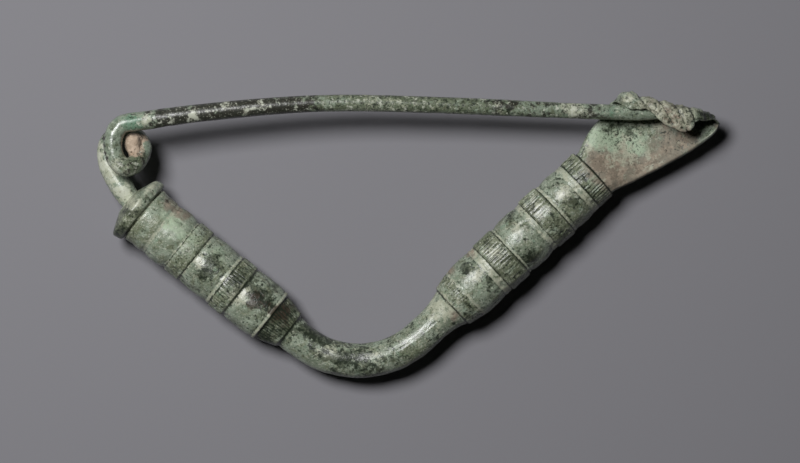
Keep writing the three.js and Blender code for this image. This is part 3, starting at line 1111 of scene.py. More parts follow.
@dataclass
class PinWire:
    """The one piece of wire: a stub from the socket, a lower and an upper turn, and the pin.
    """

    coil_centre: tuple[float, float]
    bodies: tuple[str, str]
    stub: tuple = ((-41.9, 5.7), (-42.6, 6.75), (-43.85, 8.5), (-44.65, 9.9), (-45.05, 11.3))
    shaft: tuple = (
        (-38.5, 17.1), (-31.0, 18.15), (-13.0, 19.6), (5.0, 19.35), (23.0, 18.6), (35.0, 18.2),
        (39.7, 18.1),
    )
    socket_depth: float = 2.6
    lower_offset: tuple[float, float] = (-0.34, -0.6)
    lower_size: tuple[float, float] = (2.72, 2.5)
    upper_offset: tuple[float, float] = (0.4, 0.0)
    upper_size: tuple[float, float] = (2.12, 3.3)
    lower_z: float = 4.9
    upper_z: float = 9.6
    catch_z: float = 7.9
    socket_radius: float = 1.56
    coil_radius: float = 1.42
    root_radius: float = 1.36
    middle_radius: float = 1.26
    far_radius: float = 1.22
    catch_radius: float = 1.06
    radius_knots: tuple = (0.0, 4.0, 9.0, 38.0, 60.0, 90.0)
    swelling: float = 0.22
    swelling_place: float = 4.0
    point_radius: float = 0.3
    point_length: float = 5.0
    lumps: tuple = ((0.06, 2.4, 1), (0.035, 0.9, 2), (0.015, 0.4, 1))
    pit_size: float = 0.6
    pit_depth: float = 0.06
    pit_limits: tuple[float, float] = (0.4, 0.85)
    pin_roughness: float = 0.35
    far_roughness: float = 0.25
    rows: int = 560
    cap_rows: int = 8
    cap_length: float = 0.4
    sides: int = 48
    flex_direction: tuple[float, float, float] = (0.4, 0.15, 1.0)
    flex_start: float = -8.9
    flex_end: float = -5.6
    seed: int = 51

    def turn(self, centre: Array, size: tuple, start: float, end: float, count: int) -> Array:
        """Points of a turn, clockwise from above: an ellipse's cosine and sine, climbing by a
        ramp from the lower level at 70 degrees to the upper level at -110 degrees.

        Args:
            centre: The ellipse's middle.
            size: Its half width and half height.
            start: First angle in degrees.
            end: Last angle in degrees.
            count: Number of points.

        Returns:
            The points.
        """
        degrees = np.linspace(start, end, count)
        angle = np.radians(degrees)
        climb = ramp((70.0 - degrees) / 180.0)
        return np.column_stack([
            centre[0] + size[0] * np.cos(angle),
            centre[1] + size[1] * np.sin(angle),
            self.lower_z + (self.upper_z - self.lower_z) * climb,
        ])

    def path(self) -> Line:
        """The wire's middle line: stub, lower turn, upper turn, and the pin, which goes down
        evenly to the catch.

        Returns:
            The line from the bottom of the socket to the point.
        """
        stub = np.column_stack([np.array(self.stub), np.full(len(self.stub), self.lower_z)])
        bottom = stub[0] + unit(stub[0] - stub[1]) * self.socket_depth
        lower = np.add(self.coil_centre, self.lower_offset)
        upper = np.add(self.coil_centre, self.upper_offset)
        shaft = np.array(self.shaft)
        share = (shaft[:, 0] - shaft[0, 0]) / (shaft[-1, 0] - shaft[0, 0])
        height = self.upper_z + (self.catch_z - self.upper_z) * share
        points = np.concatenate([
            [bottom],
            stub,
            self.turn(lower, self.lower_size, 180, 14, 12),
            self.turn(upper, self.upper_size, -6, -268, 17),
            np.column_stack([shaft, height]),
        ])
        return Line.through(points, LINE_STEP)

    def radius(self, distance: Array, length: float) -> Array:
        """Wire radius: a little thicker where corrosion has swollen it at the collar, thinning
        along the pin, and closing to the point by a root.

        Args:
            distance: Distances along the wire.
            length: The wire's whole length.

        Returns:
            Radii in mm.
        """
        radii = [
            self.socket_radius, self.socket_radius, self.coil_radius, self.root_radius,
            self.middle_radius, self.far_radius, self.catch_radius,
        ]
        shaft = np.interp(distance, [*self.radius_knots, length], radii)
        swollen = self.swelling * bell(distance - self.swelling_place, 1.5)
        point = np.sqrt(np.clip((length - distance) / self.point_length, 0.0, 1.0))
        return self.point_radius + (shaft + swollen - self.point_radius) * point

    def surface(self) -> Surface:
        """A round tube along the path, with corrosion lumps and pits on the coil and finer ones
        on the pin.

        A point is the path's place plus the radius times the level direction's cosine and the
        lift direction's sine. The last rows crowd together towards the point.

        Returns:
            The wire's surface.
        """
        path = self.path()
        length = float(path.distance[-1])
        cap = 1.0 - np.cos(np.linspace(0.0, math.pi, 30)[: self.cap_rows] / 2)
        even = np.linspace(0.0, length - self.cap_length, self.rows - self.cap_rows)
        rows = np.sort(np.concatenate([even, length - self.cap_length * cap]))
        angle = np.linspace(0.0, 2 * math.pi, self.sides, endpoint=False)[None, :, None]
        _, across, lift = path.frames(np.clip(rows, 0.06, length - 0.06))
        ray = np.cos(angle) * across[:, None] + np.sin(angle) * lift[:, None]
        base = path.at(rows)[:, None] + ray * self.radius(rows, length)[:, None, None]
        coil = 1.0 - ramp(base[..., 0], -37.0, -30.0)
        far = ramp(base[..., 0], -12.0, 10.0)
        rough = self.pin_roughness + (1.0 - self.pin_roughness) * coil + self.far_roughness * far
        pits = ramp(Grain(self.pit_size, self.seed + 3).at(base), *self.pit_limits)
        height = rough * (lumpy(base, self.lumps, self.seed) - self.pit_depth * pits)
        height *= ramp(length - rows, 0.0, 2.0)[:, None]
        return Surface(base + ray * height[..., None])

    def build(self) -> bpy.types.Object:
        """Builds the wire, dresses it, and hides the construction model's spring and pin.

        Returns:
            The finished piece.
        """
        wire = self.surface().build("spring_and_pin")
        dress(wire, WIRE_PATINA, WIRE_PATCHES, passes=6)
        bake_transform(wire)
        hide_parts("spring", "pin")
        return wire


@dataclass
class EyeSoil:
    """The hard soil that fills most of the coil's eye, as a lumpy flattened ball."""

    body: str
    centre: tuple[float, float, float] = (-40.8, 13.35, 7.0)
    half_size: tuple[float, float, float] = (1.2, 1.9, 2.3)
    steepness: float = 0.4
    squareness: float = 0.7
    lumps: tuple = ((0.2, 1.2, 2), (0.08, 0.4, 1))
    rows: int = 60
    sides: int = 80
    seed: int = 71

    def surface(self) -> Surface:
        """Ball points from two angles, stretched to the half sizes.

        Low powers of the sines and cosines make the sides steep and the plan squarish, and lumps
        move each point along its ray.

        Returns:
            The lump's surface.
        """
        polar = np.linspace(0.03, math.pi - 0.03, self.rows)[:, None]
        angle = np.linspace(0.0, 2 * math.pi, self.sides, endpoint=False)[None, :]
        out = np.sin(polar) ** self.steepness
        ball = np.stack([
            out * np.sign(np.cos(angle)) * np.abs(np.cos(angle)) ** self.squareness,
            out * np.sign(np.sin(angle)) * np.abs(np.sin(angle)) ** self.squareness,
            np.broadcast_to(np.cos(polar), (self.rows, self.sides)),
        ], axis=-1)
        points = np.array(self.centre) + ball * np.array(self.half_size)
        return Surface(points + ball * lumpy(points, self.lumps, self.seed)[..., None])

    def build(self) -> bpy.types.Object:
        """Builds the soil and dresses it. It rides on the bow.

        Returns:
            The finished piece.
        """
        soil = self.surface().build("soil_in_coil")
        dress(soil, SOIL_FILL, (), passes=4)
        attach(soil, self.body)
        return soil


# ---------------------------------------------------------------- the bow


@dataclass
class Bow:
    """The bow: its arms and its catch, cast as one."""

    body: str
    arms: BowArms = field(default_factory=BowArms)
    hand: CatchHand = field(default_factory=CatchHand)

    def build(self) -> bpy.types.Object:
        """Builds the arms, fuses the hand to them, and dresses the casting.

        Returns:
            The finished piece.
        """
        bow = self.arms.surface().build("bronze_bow")
        fuse(bow, self.hand.surface().build("catch_hand"))
        dress(bow, BOW_PATINA, BOW_PATCHES, passes=6, carving=self.arms)
        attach(bow, self.body)
        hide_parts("bow")
        return bow


# ---------------------------------------------------------------- finishes


@dataclass(frozen=True)
class Patch:
    """A patch of one layer, seen from above: its place, its size and how strong it is. A negative
    strength keeps the layer away."""

    layer: Layer
    x: float
    y: float
    size: float
    strength: float


def spots(layer: Layer, *measures: tuple[float, float, float, float]) -> tuple[Patch, ...]:
    """Patches of one layer, each from its x, y, size and strength."""
    return tuple(Patch(layer, *measure) for measure in measures)


def linear(colour: str) -> tuple[float, float, float, float]:
    """An sRGB hex colour as linear light.

    Args:
        colour: Six hex digits after a hash sign.

    Returns:
        Red, green, blue and an alpha of 1.
    """
    channels = [int(colour[i : i + 2], 16) / 255 for i in (1, 3, 5)]
    light = [c / 12.92 if c <= 0.04045 else ((c + 0.055) / 1.055) ** 2.4 for c in channels]
    return (*light, 1.0)


def add(
    tree: bpy.types.NodeTree, kind: str, settings: dict | None = None, links: dict | None = None
) -> bpy.types.Node:
    """Adds one node with its settings and links.

    Args:
        tree: The material's node tree.
        kind: The node type's name.
        settings: Property names or input numbers or names, each with its value.
        links: Input numbers or names, each with the output that feeds it.

    Returns:
        The new node.
    """
    node = tree.nodes.new(kind)
    for key, value in (settings or {}).items():
        if isinstance(key, str) and hasattr(node, key):
            setattr(node, key, value)
        else:
            node.inputs[key].default_value = value
    for key, output in (links or {}).items():
        tree.links.new(output, node.inputs[key])
    return node


@dataclass(frozen=True)
class Speckle:
    """A noise pattern cut to spots: lump size in mm, where it starts and ends to show, how many
    finer sizes it holds, a shift that sets it apart from others, and how strong the finer are."""

    size: float
    low: float
    high: float
    detail: float = 3.0
    shift: float = 0.0
    raggedness: float = 0.66


@dataclass(frozen=True)
class Coat:
    """One colour laid over the finish where speckles and a painted layer let it show.

    The cover is the speckle plus the painted amount times its pull, cut off between two limits.
    """

    colour: str
    roughness: float
    speckle: Speckle
    layer: Layer | None = None
    pull: float = 1.0
    hollow_pull: float = 0.0
    most: float = 1.0


@dataclass(frozen=True)
class Patina:
    """Corroded bronze: a base of two mixed colours, then coats in patches, with a grainy relief.

    Bronze that lay in soil is covered by copper carbonates, chlorides and tin oxide. To the eye it
    is no metal but a stony, slightly waxy skin, so it is a dielectric of middling roughness. Where
    handling has polished it, a thin clear coat gives a soft gleam.
    """

    name: str
    light: str
    deep: str
    mix_size: float
    roughness: float
    coats: tuple[Coat, ...]
    coarse_size: float = 1.1
    coarse_height: float = 0.12
    grain_size: float = 0.3
    grain_height: float = 0.055
    relief_strength: float = 0.8
    sheen_most: float = 0.55
    sheen_roughness: float = 0.27

    def build(self) -> bpy.types.Material:
        """Makes the node material.

        Returns:
            The material.
        """
        material = bpy.data.materials.new(self.name)
        material.use_nodes = True
        tree = material.node_tree
        tree.nodes.clear()
        place = add(tree, "ShaderNodeTexCoord").outputs["Object"]
        colour, rough = self.layers(tree, place)
        coarse, grain = self.relief(tree, place)
        polished = add(tree, "ShaderNodeAttribute", {"attribute_name": Layer.SHEEN.value}).outputs["Fac"]
        sheen = add(
            tree, "ShaderNodeMath", {"operation": "MULTIPLY", 1: self.sheen_most}, {0: polished}
        ).outputs[0]
        shader = add(
            tree, "ShaderNodeBsdfPrincipled",
            {"Metallic": 0.0, "Coat Roughness": self.sheen_roughness},
            {"Base Color": colour, "Roughness": rough, "Normal": grain, "Coat Weight": sheen,
             "Coat Normal": coarse},
        )
        add(tree, "ShaderNodeOutputMaterial", links={"Surface": shader.outputs[0]})
        return material

    def layers(
        self, tree: bpy.types.NodeTree, place: bpy.types.NodeSocket
    ) -> tuple[bpy.types.NodeSocket, bpy.types.NodeSocket]:
        """The two base colours mixed by broad lumps, then each coat over what is there.

        Args:
            tree: The node tree.
            place: Object coordinates.

        Returns:
            The colour and the roughness.
        """
        mix = Speckle(self.mix_size, 0.35, 0.65, 4.0, raggedness=0.55)
        blend = self.cut(tree, self.lumps(tree, place, mix), mix, 1.0)
        colour = add(
            tree, "ShaderNodeMix",
            {"data_type": "RGBA", 6: linear(self.light), 7: linear(self.deep)}, {0: blend},
        ).outputs[2]
        rough = add(
            tree, "ShaderNodeMapRange",
            {3: self.roughness - 0.06, 4: self.roughness + 0.08}, {0: blend},
        ).outputs[0]
        for coat in self.coats:
            cover = self.cover(tree, place, coat)
            colour = add(
                tree, "ShaderNodeMix", {"data_type": "RGBA", 7: linear(coat.colour)},
                {0: cover, 6: colour},
            ).outputs[2]
            rough = add(
                tree, "ShaderNodeMix", {"data_type": "FLOAT", 3: coat.roughness},
                {0: cover, 2: rough},
            ).outputs[0]
        return colour, rough

    def relief(
        self, tree: bpy.types.NodeTree, place: bpy.types.NodeSocket
    ) -> tuple[bpy.types.NodeSocket, bpy.types.NodeSocket]:
        """Shallow dents of the coarse size, then grains of the fine size on them.

        Args:
            tree: The node tree.
            place: Object coordinates.

        Returns:
            The normal with the dents alone, and the normal with both.
        """
        normals = []
        links = {}
        for size, height, detail, raggedness in (
            (self.coarse_size, self.coarse_height, 5.0, 0.6),
            (self.grain_size, self.grain_height, 3.0, 0.65),
        ):
            dents = add(
                tree, "ShaderNodeTexNoise",
                {"Scale": 1 / (size * MM), "Detail": detail, "Roughness": raggedness},
                {"Vector": place},
            ).outputs["Fac"]
            settings = {"Strength": self.relief_strength, "Distance": height * MM}
            normals.append(add(tree, "ShaderNodeBump", settings, {"Height": dents, **links}).outputs[0])
            links = {"Normal": normals[0]}
        return normals[0], normals[1]

    def lumps(
        self, tree: bpy.types.NodeTree, place: bpy.types.NodeSocket, speckle: Speckle
    ) -> bpy.types.NodeSocket:
        """A noise with lumps of a speckle's size, moved by its shift.

        Args:
            tree: The node tree.
            place: Object coordinates.
            speckle: The speckle.

        Returns:
            The noise, about one half on average.
        """
        moved = add(
            tree, "ShaderNodeMapping", {"Location": (speckle.shift,) * 3}, {"Vector": place}
        ).outputs[0]
        return add(
            tree, "ShaderNodeTexNoise",
            {"Scale": 1 / (speckle.size * MM), "Detail": speckle.detail,
             "Roughness": speckle.raggedness},
            {"Vector": moved},
        ).outputs["Fac"]

    def cut(
        self, tree: bpy.types.NodeTree, level: bpy.types.NodeSocket, speckle: Speckle, most: float
    ) -> bpy.types.NodeSocket:
        """Cuts a level to spots by a smooth ramp between a speckle's limits.

        Args:
            tree: The node tree.
            level: What is cut.
            speckle: The limits.
            most: The highest value that is given.

        Returns:
            The output from 0 to the most.
        """
        settings = {"interpolation_type": "SMOOTHSTEP", 1: speckle.low, 2: speckle.high, 4: most}
        return add(tree, "ShaderNodeMapRange", settings, {0: level}).outputs[0]

    def cover(
        self, tree: bpy.types.NodeTree, place: bpy.types.NodeSocket, coat: Coat
    ) -> bpy.types.NodeSocket:
        """How much of a coat shows: its lumps, moved up by its painted layer and by hollows, cut
        by the speckle's limits.

        Args:
            tree: The node tree.
            place: Object coordinates.
            coat: The coat.

        Returns:
            The output from 0 to the coat's most.
        """
        level = self.lumps(tree, place, coat.speckle)
        pulls = {coat.layer.value: coat.pull} if coat.layer else {}
        if coat.hollow_pull:
            pulls[HOLLOW] = coat.hollow_pull
        for name, pull in pulls.items():
            painted = add(tree, "ShaderNodeAttribute", {"attribute_name": name}).outputs["Fac"]
            level = add(
                tree, "ShaderNodeMath", {"operation": "MULTIPLY_ADD", 1: pull},
                {0: painted, 2: level},
            ).outputs[0]
        return self.cut(tree, level, coat.speckle, coat.most)


# Cast bronze after long burial, partly cleaned: a grey-green skin with cream and mint crusts in
# patches, brown soil on the palm, and dark spots where the crust is gone. A few cream spots on the
# beads' lit side are painted highlights, and the dark spots in the nose hold painted shade under the
# fingers. It gives the eye a mottled stony surface with a faint wax gleam.
BOW_PATINA = Patina(
    name="cast_bronze_patina",
    light="#9fab98",
    deep="#838e7a",
    mix_size=2.0,
    roughness=0.27,
    coats=(
        Coat("#6f7459", 0.34, Speckle(1.4, 0.5, 0.64, 6.0, 0.01), Layer.OLIVE, 0.2, most=0.7),
        Coat("#7f9f88", 0.32, Speckle(1.8, 0.56, 0.74, 6.0, 0.21), None, most=0.5),
        Coat("#d0d4c3", 0.35, Speckle(0.8, 0.6, 0.7, 8.0, 0.15), Layer.CREAM, 0.08, most=0.7),
        Coat("#d6d8c6", 0.4, Speckle(0.3, 0.56, 0.64, 4.0, 0.19), Layer.CREAM, 0.08, -0.5, most=0.55),
        Coat("#b2c4a8", 0.6, Speckle(1.1, 0.56, 0.95, 7.0, 0.07), Layer.MINT, 0.5, most=0.9),
        Coat("#8d8475", 0.75, Speckle(1.3, 0.58, 0.95, 7.0, 0.05), Layer.SOIL, 0.6, most=0.92),
        Coat("#b9a894", 0.8, Speckle(0.9, 0.86, 1.12, 7.0, 0.06), Layer.SOIL, 0.5, most=0.7),
        Coat("#5d5548", 0.6, Speckle(0.6, 0.9, 1.1, 7.0, 0.23), Layer.SOIL, 0.45, most=0.55),
        Coat("#bfc1aa", 0.45, Speckle(0.9, 0.56, 0.72, 7.0, 0.03), Layer.CREAM, 0.24, most=0.75),
        Coat("#474d3c", 0.28, Speckle(1.4, 0.575, 0.71, 7.0, 0.13), Layer.DARK, 0.25, most=0.75),
        Coat("#3b2b22", 0.4, Speckle(0.8, 0.7, 1.0, 5.0, 0.11), Layer.CUPRITE, 0.6, most=0.85),
        Coat("#283026", 0.26, Speckle(0.7, 0.56, 0.65, 8.0, 0.09), Layer.DARK, 0.12, 1.3, most=0.85),
        Coat("#2c3328", 0.3, Speckle(0.3, 0.55, 0.615, 4.0, 0.17), Layer.DARK, 0.07, 1.2, most=0.75),
    ),
)

# Drawn bronze wire under a thinner, smoother skin: darker and more olive than the casting, with
# long near-black stretches between pale flakes. It gives the eye a tighter, wetter gleam.
WIRE_PATINA = Patina(
    name="drawn_bronze_wire_patina",
    light="#98a592",
    deep="#7c8876",
    mix_size=1.4,
    roughness=0.25,
    grain_height=0.035,
    coarse_height=0.09,
    coats=(
        Coat("#60674f", 0.3, Speckle(0.9, 0.52, 0.66, 6.0, 0.02), Layer.OLIVE, 0.25, most=0.75),
        Coat("#5f8a70", 0.4, Speckle(0.7, 0.58, 0.84, 6.0, 0.08), Layer.MINT, 0.4, most=0.7),
        Coat("#bfc3ab", 0.45, Speckle(0.9, 0.58, 0.74, 7.0, 0.12), Layer.CREAM, 0.3, most=0.8),
        Coat("#b8a48f", 0.8, Speckle(0.8, 0.62, 0.84, 6.0, 0.05), Layer.SOIL, 0.6, most=0.95),
        Coat("#2b2723", 0.34, Speckle(1.0, 0.58, 0.72, 7.0, 0.06), Layer.DARK, 0.28, most=0.92),
        Coat("#262e25", 0.28, Speckle(0.7, 0.55, 0.65, 8.0, 0.1), Layer.OLIVE, 0.08, 1.2, most=0.88),
        Coat("#2c3328", 0.3, Speckle(0.3, 0.545, 0.61, 4.0, 0.17), Layer.OLIVE, 0.03, 1.2, most=0.75),
        Coat("#cfd3c2", 0.35, Speckle(0.8, 0.57, 0.67, 8.0, 0.04), Layer.CREAM, 0.12, most=0.8),
        Coat("#c9cbb8", 0.4, Speckle(0.28, 0.6, 0.66, 4.0, 0.19), Layer.CREAM, 0.12, most=0.5),
        Coat("#4a2c22", 0.4, Speckle(0.4, 0.74, 0.98, 3.0, 0.11), Layer.CUPRITE, 0.6, most=0.85),
    ),
)

# Soil and corrosion set hard in the coil's eye: pinkish tan, coarse and quite matt.
SOIL_FILL = Patina(
    name="hardened_soil",
    light="#ccb7a2",
    deep="#b09c87",
    mix_size=1.4,
    roughness=0.85,
    coats=(
        Coat("#e0cfb9", 0.9, Speckle(0.5, 0.58, 0.74, 4.0, 0.02), most=0.7),
        Coat("#4a3527", 0.8, Speckle(0.45, 0.58, 0.66, 5.0, 0.04), None, 1.0, 2.0, most=0.8),
    ),
    coarse_height=0.25,
)

# Each measure is x, y, size and strength.
BOW_PATCHES: tuple[Patch, ...] = (
    # collar
    *spots(Layer.CREAM, (-40.9, 4.6, 1.2, 0.9), (-38.0, 7.2, 1.0, 0.9)),
    *spots(
        Layer.DARK,
        (-43.0, 0.4, 1.8, 1.2), (-38.8, 5.2, 0.9, 1.0), (-40.6, 2.9, 0.9, 1.0), (-41.9, 3.4, 0.6, 0.9),
    ),
    *spots(Layer.MINT, (-34.3, 2.6, 1.1, 0.4)),
    *spots(Layer.OLIVE, (-41.6, 1.8, 2.6, 1.3)),
    *spots(Layer.SHEEN, (-39.9, 4.2, 1.0, 0.6)),
    # spring arm
    # The cream spot at (-30.8, -4.2), on the crown of the fourth bead, is a painted highlight; the others
    # are cream crust.
    *spots(
        Layer.CREAM,
        (-30.8, -4.2, 0.9, 1.0), (-25.3, -9.2, 1.2, 1.3), (-24.6, -8.3, 1.0, 1.3),
        (-18.6, -13.2, 0.5, 1.2), (-20.3, -11.3, 0.5, 1.2),
    ),
    *spots(
        Layer.DARK,
        (-36.0, 0.6, 5.0, -0.7), (-29.0, -3.6, 1.3, 0.9), (-30.2, -5.7, 1.3, 1.0),
        (-21.9, -8.9, 1.6, 1.3), (-25.2, -6.6, 1.6, 0.7), (-19.4, -12.3, 2.4, 0.5),
        (-21.6, -15.6, 1.4, 1.0),
    ),
    *spots(Layer.SOIL, (-35.7, 4.6, 0.9, 0.9), (-34.3, 3.7, 0.9, 0.9), (-33.1, 2.8, 0.8, 0.8)),
    *spots(Layer.MINT, (-33.0, -0.4, 2.2, 0.5), (-35.6, 2.6, 1.6, 0.5), (-28.4, -2.6, 1.2, 0.5)),
    *spots(
        Layer.CUPRITE,
        (-35.9, 5.2, 0.6, 0.9), (-22.3, -9.3, 1.2, 1.1), (-23.4, -10.6, 0.9, 0.8),
        (-19.6, -11.9, 2.0, 0.5), (-18.3, -11.4, 1.3, 0.8),
    ),
    # elbow
    *spots(Layer.CREAM, (-11.8, -17.6, 1.3, 1.0), (-5.5, -18.4, 2.0, 0.4), (4.9, -10.8, 2.3, 1.0)),
    *spots(
        Layer.DARK,
        (-13.2, -15.6, 2.2, 0.8), (-8.0, -18.6, 2.4, 0.6), (-10.2, -19.2, 1.5, 0.8),
        (-5.6, -20.4, 1.7, 0.8), (-14.6, -13.6, 1.1, 0.9), (-1.6, -18.8, 1.6, 0.5),
        (3.4, -16.4, 1.2, 0.5), (4.9, -10.8, 2.6, -0.9),
    ),
    *spots(Layer.SOIL, (7.2, -12.3, 0.9, 0.8)),
    *spots(Layer.OLIVE, (1.5, -18.5, 2.6, 1.0)),
    # catch arm
    # These cream spots lie along the lit upper-left side of the beads and bands, where the highlights fall:
    # cream crust with painted highlight on it. The one at (10.4, -5.9) is a painted highlight on the first
    # bead's crown.
    *spots(
        Layer.CREAM,
        (10.4, -5.9, 0.9, 1.0), (16.5, 1.0, 1.0, 0.8), (23.5, 6.4, 1.2, 1.0), (19.2, 4.0, 1.2, 1.0),
        (13.0, -2.8, 1.2, 1.0),
    ),
    *spots(
        Layer.DARK,
        (8.9, -5.0, 0.9, 1.2), (18.5, -3.4, 1.3, 1.1), (22.2, 7.6, 0.9, 0.8), (25.0, 5.0, 1.2, 0.8),
        (15.4, 2.6, 1.2, 0.8), (12.2, -6.6, 1.2, 0.5), (26.6, 8.6, 1.2, 0.6),
    ),
    *spots(Layer.SOIL, (6.5, -5.4, 0.7, 1.0), (9.6, -2.6, 0.9, 1.0)),
    *spots(Layer.MINT, (27.4, 8.4, 0.9, 0.7), (11.0, -7.2, 1.0, 0.5)),
    *spots(Layer.CUPRITE, (18.6, -3.4, 0.8, 0.7)),
    *spots(Layer.OLIVE, (24.8, 3.0, 2.2, 0.9)),
    # palm
    *spots(Layer.CREAM, (32.5, 12.6, 2.6, 0.9), (27.0, 13.0, 0.7, 0.8), (36.5, 11.6, 1.6, 0.4)),
    # The dark spots at (44.4, 16.9) and (45.6, 18.0), in the nose under the fingers' end, are dark patina
    # with painted shade of the fingers in them.
    *spots(
        Layer.DARK,
        (32.4, 13.4, 2.4, 0.3), (31.0, 9.8, 3.6, -0.9), (38.0, 12.0, 3.4, -0.7), (44.4, 16.9, 1.3, 0.8),
        (45.6, 18.0, 0.9, 0.9), (33.0, 20.6, 1.6, 0.35), (37.2, 19.0, 1.8, 0.4),
        (41.5, 18.0, 2.0, 0.45), (44.2, 18.3, 1.0, 0.3), (29.7, 15.8, 1.1, 0.6), (31.3, 16.0, 0.8, 0.5),
        (33.8, 15.2, 1.2, 0.45),
    ),
    *spots(
        Layer.SOIL,
        (31.0, 9.4, 2.9, 1.2), (28.2, 10.6, 1.8, 1.1), (35.0, 10.0, 2.2, 1.0), (39.0, 12.6, 2.6, 1.0),
        (42.5, 14.2, 1.8, 0.8), (46.6, 16.4, 0.7, 0.7),
    ),
    *spots(Layer.MINT, (32.2, 13.6, 2.6, 1.1), (28.6, 14.2, 1.7, 1.0), (34.8, 13.2, 1.8, 0.8)),
    # This red-brown spot in the nose is brown patina with painted shade of the fingers in it.
    *spots(Layer.CUPRITE, (44.4, 16.8, 1.4, 0.5)),
    *spots(Layer.OLIVE, (36.4, 13.4, 1.8, 0.8)),
    # polish left on the crowns
    *spots(
        Layer.SHEEN,
        (-30.8, -4.4, 1.6, 1.2), (-26.5, -7.2, 1.6, 1.2), (-25.0, -9.0, 1.6, 1.3),
        (-20.5, -11.6, 1.8, 0.7), (0.6, -16.2, 1.6, 1.4), (2.6, -14.2, 1.4, 1.2),
        (-9.5, -17.6, 2.6, 0.7), (7.6, -8.2, 1.2, 0.8), (9.6, -5.6, 1.1, 1.1), (12.6, -3.3, 1.5, 1.2),
        (16.4, 0.6, 1.8, 0.6), (19.0, 3.7, 1.4, 1.2), (22.9, 6.2, 1.1, 1.0),
    ),
    # fingers
    *spots(Layer.CREAM, (33.2, 20.2, 1.5, 0.8), (37.0, 18.6, 2.2, 1.0), (41.5, 17.6, 1.8, 1.0)),
    *spots(Layer.SOIL, (38.9, 17.6, 0.9, 1.3), (40.5, 17.8, 2.4, 0.7), (36.4, 19.0, 1.6, 0.6)),
)
WIRE_PATCHES: tuple[Patch, ...] = (
    *spots(
        Layer.CREAM,
        (-42.3, 6.1, 1.2, 1.5), (-44.6, 8.8, 1.8, 1.0), (-42.3, 11.0, 0.7, 0.5),
        (-38.6, 16.9, 0.9, 0.7), (-26.9, 19.4, 0.7, 1.2), (-24.0, 18.4, 0.6, 1.0),
        (-21.6, 19.5, 0.7, 1.1), (-35.0, 16.9, 0.6, 0.8), (-31.8, 17.9, 0.9, 1.5),
        (-29.5, 18.3, 0.5, 0.8), (25.0, 18.6, 1.8, 0.8), (-4.0, 19.5, 6.0, 0.3), (13.5, 19.2, 0.6, 1.0),
        (-46.3, 13.6, 0.6, 1.3), (-46.1, 12.0, 0.7, 1.3), (-45.6, 10.6, 0.8, 1.3),
    ),
    *spots(
        Layer.DARK,
        (-36.2, 17.4, 2.0, 1.0), (-33.4, 17.8, 2.2, 1.3), (-29.8, 18.3, 2.2, 1.3),
        (-26.0, 18.6, 2.4, 1.3), (-22.0, 19.0, 2.4, 1.3), (-18.4, 19.3, 2.2, 1.2),
        (-14.5, 19.5, 2.4, 0.7), (20.0, 18.9, 4.0, 0.35), (27.5, 18.4, 2.4, 0.6),
        # The dark spots at (-40.8, 9.6) and (-39.2, 11.1), on the coil's lower side, are dark patina with
        # painted shade of the turn's lower flank in them.
        (14.5, 19.2, 2.6, 0.5), (6.0, 19.5, 2.0, 0.3), (-40.8, 9.6, 1.5, 0.5), (-39.2, 11.1, 1.1, 0.4),
        # These thin dark spots along the left of the coil, in the gap between the lower and the upper turn,
        # are painted shade.
        (-45.3, 15.4, 0.4, 1.2), (-45.35, 14.4, 0.4, 1.2), (-45.3, 13.3, 0.4, 1.2),
        (-45.1, 12.2, 0.4, 1.1), (-44.7, 11.2, 0.4, 0.9),
    ),
    *spots(Layer.SOIL, (-40.1, 13.9, 0.9, 1.3), (-40.5, 12.4, 0.7, 1.0)),
    *spots(Layer.MINT, (-40.9, 16.7, 1.3, 1.4), (30.5, 18.3, 1.5, 0.35)),
    # The olive spot at (-41.4, 10.2), on the coil's lower side, is olive patina with painted shade of the
    # turn's lower flank in it.
    *spots(Layer.OLIVE, (-43.5, 7.5, 3.0, -0.8), (-41.4, 10.2, 2.6, 1.0), (0.0, 19.5, 18.0, 0.8)),
    *spots(
        Layer.SHEEN,
        (-44.2, 14.6, 1.5, 1.4), (-43.0, 16.6, 1.3, 1.0), (-34.0, 17.7, 3.0, 0.6),
        (-26.0, 18.6, 5.0, 0.5),
    ),
)


# ---------------------------------------------------------------- dressing


PATCH_EDGE = Grain(size=1.3, seed=5, octaves=3)
PATCH_RAGGEDNESS = 0.35
PATCH_LIMITS = (-1.0, 1.4)

def paint(
    mesh: bpy.types.Mesh, skin: Skin, patches: tuple[Patch, ...], carved: dict[Layer, Array]
) -> None:
    """Writes each layer's painted amount on a mesh.

    A patch fades with the distance from its middle as a bell, with a ragged edge, and shows on
    faces that look up.

    Args:
        mesh: The mesh to paint.
        skin: Its measured skin.
        patches: The patches.
        carved: Amounts that follow the carved elements, for some layers.
    """
    ragged = 1.0 + PATCH_RAGGEDNESS * PATCH_EDGE.at(skin.places)
    upper = ramp(skin.normals[:, 2], -0.35, 0.15)
    for layer in Layer:
        amount = np.zeros(len(skin.places))
        for patch in (p for p in patches if p.layer is layer):
            away = np.hypot(skin.places[:, 0] - patch.x, skin.places[:, 1] - patch.y) * ragged
            amount += patch.strength * bell(away, patch.size)
        amount = np.clip(amount, *PATCH_LIMITS) * upper + carved.get(layer, 0.0)
        write_attribute(mesh, layer.value, amount)


def dress(
    piece: bpy.types.Object, patina: Patina, patches: tuple[Patch, ...], passes: int,
    carving: BowArms | None = None,
) -> None:
    """Measures a piece, paints its layers and gives it its material.

    Args:
        piece: The piece.
        patina: Its finish.
        patches: Patches of the finish's layers.
        passes: How wide the hollows are that darken.
        carving: The carved arms, if the piece has them.
    """
    skin = Skin.of(piece.data, passes)
    write_attribute(piece.data, HOLLOW, skin.hollow)
    carved = carving.carved_layers(skin.places) if carving else {}
    paint(piece.data, skin, patches, carved)
    piece.data.materials.clear()
    piece.data.materials.append(patina.build())
    LOG.info("%s: %d faces", piece.name, len(piece.data.polygons))


# ---------------------------------------------------------------- floor, light and camera


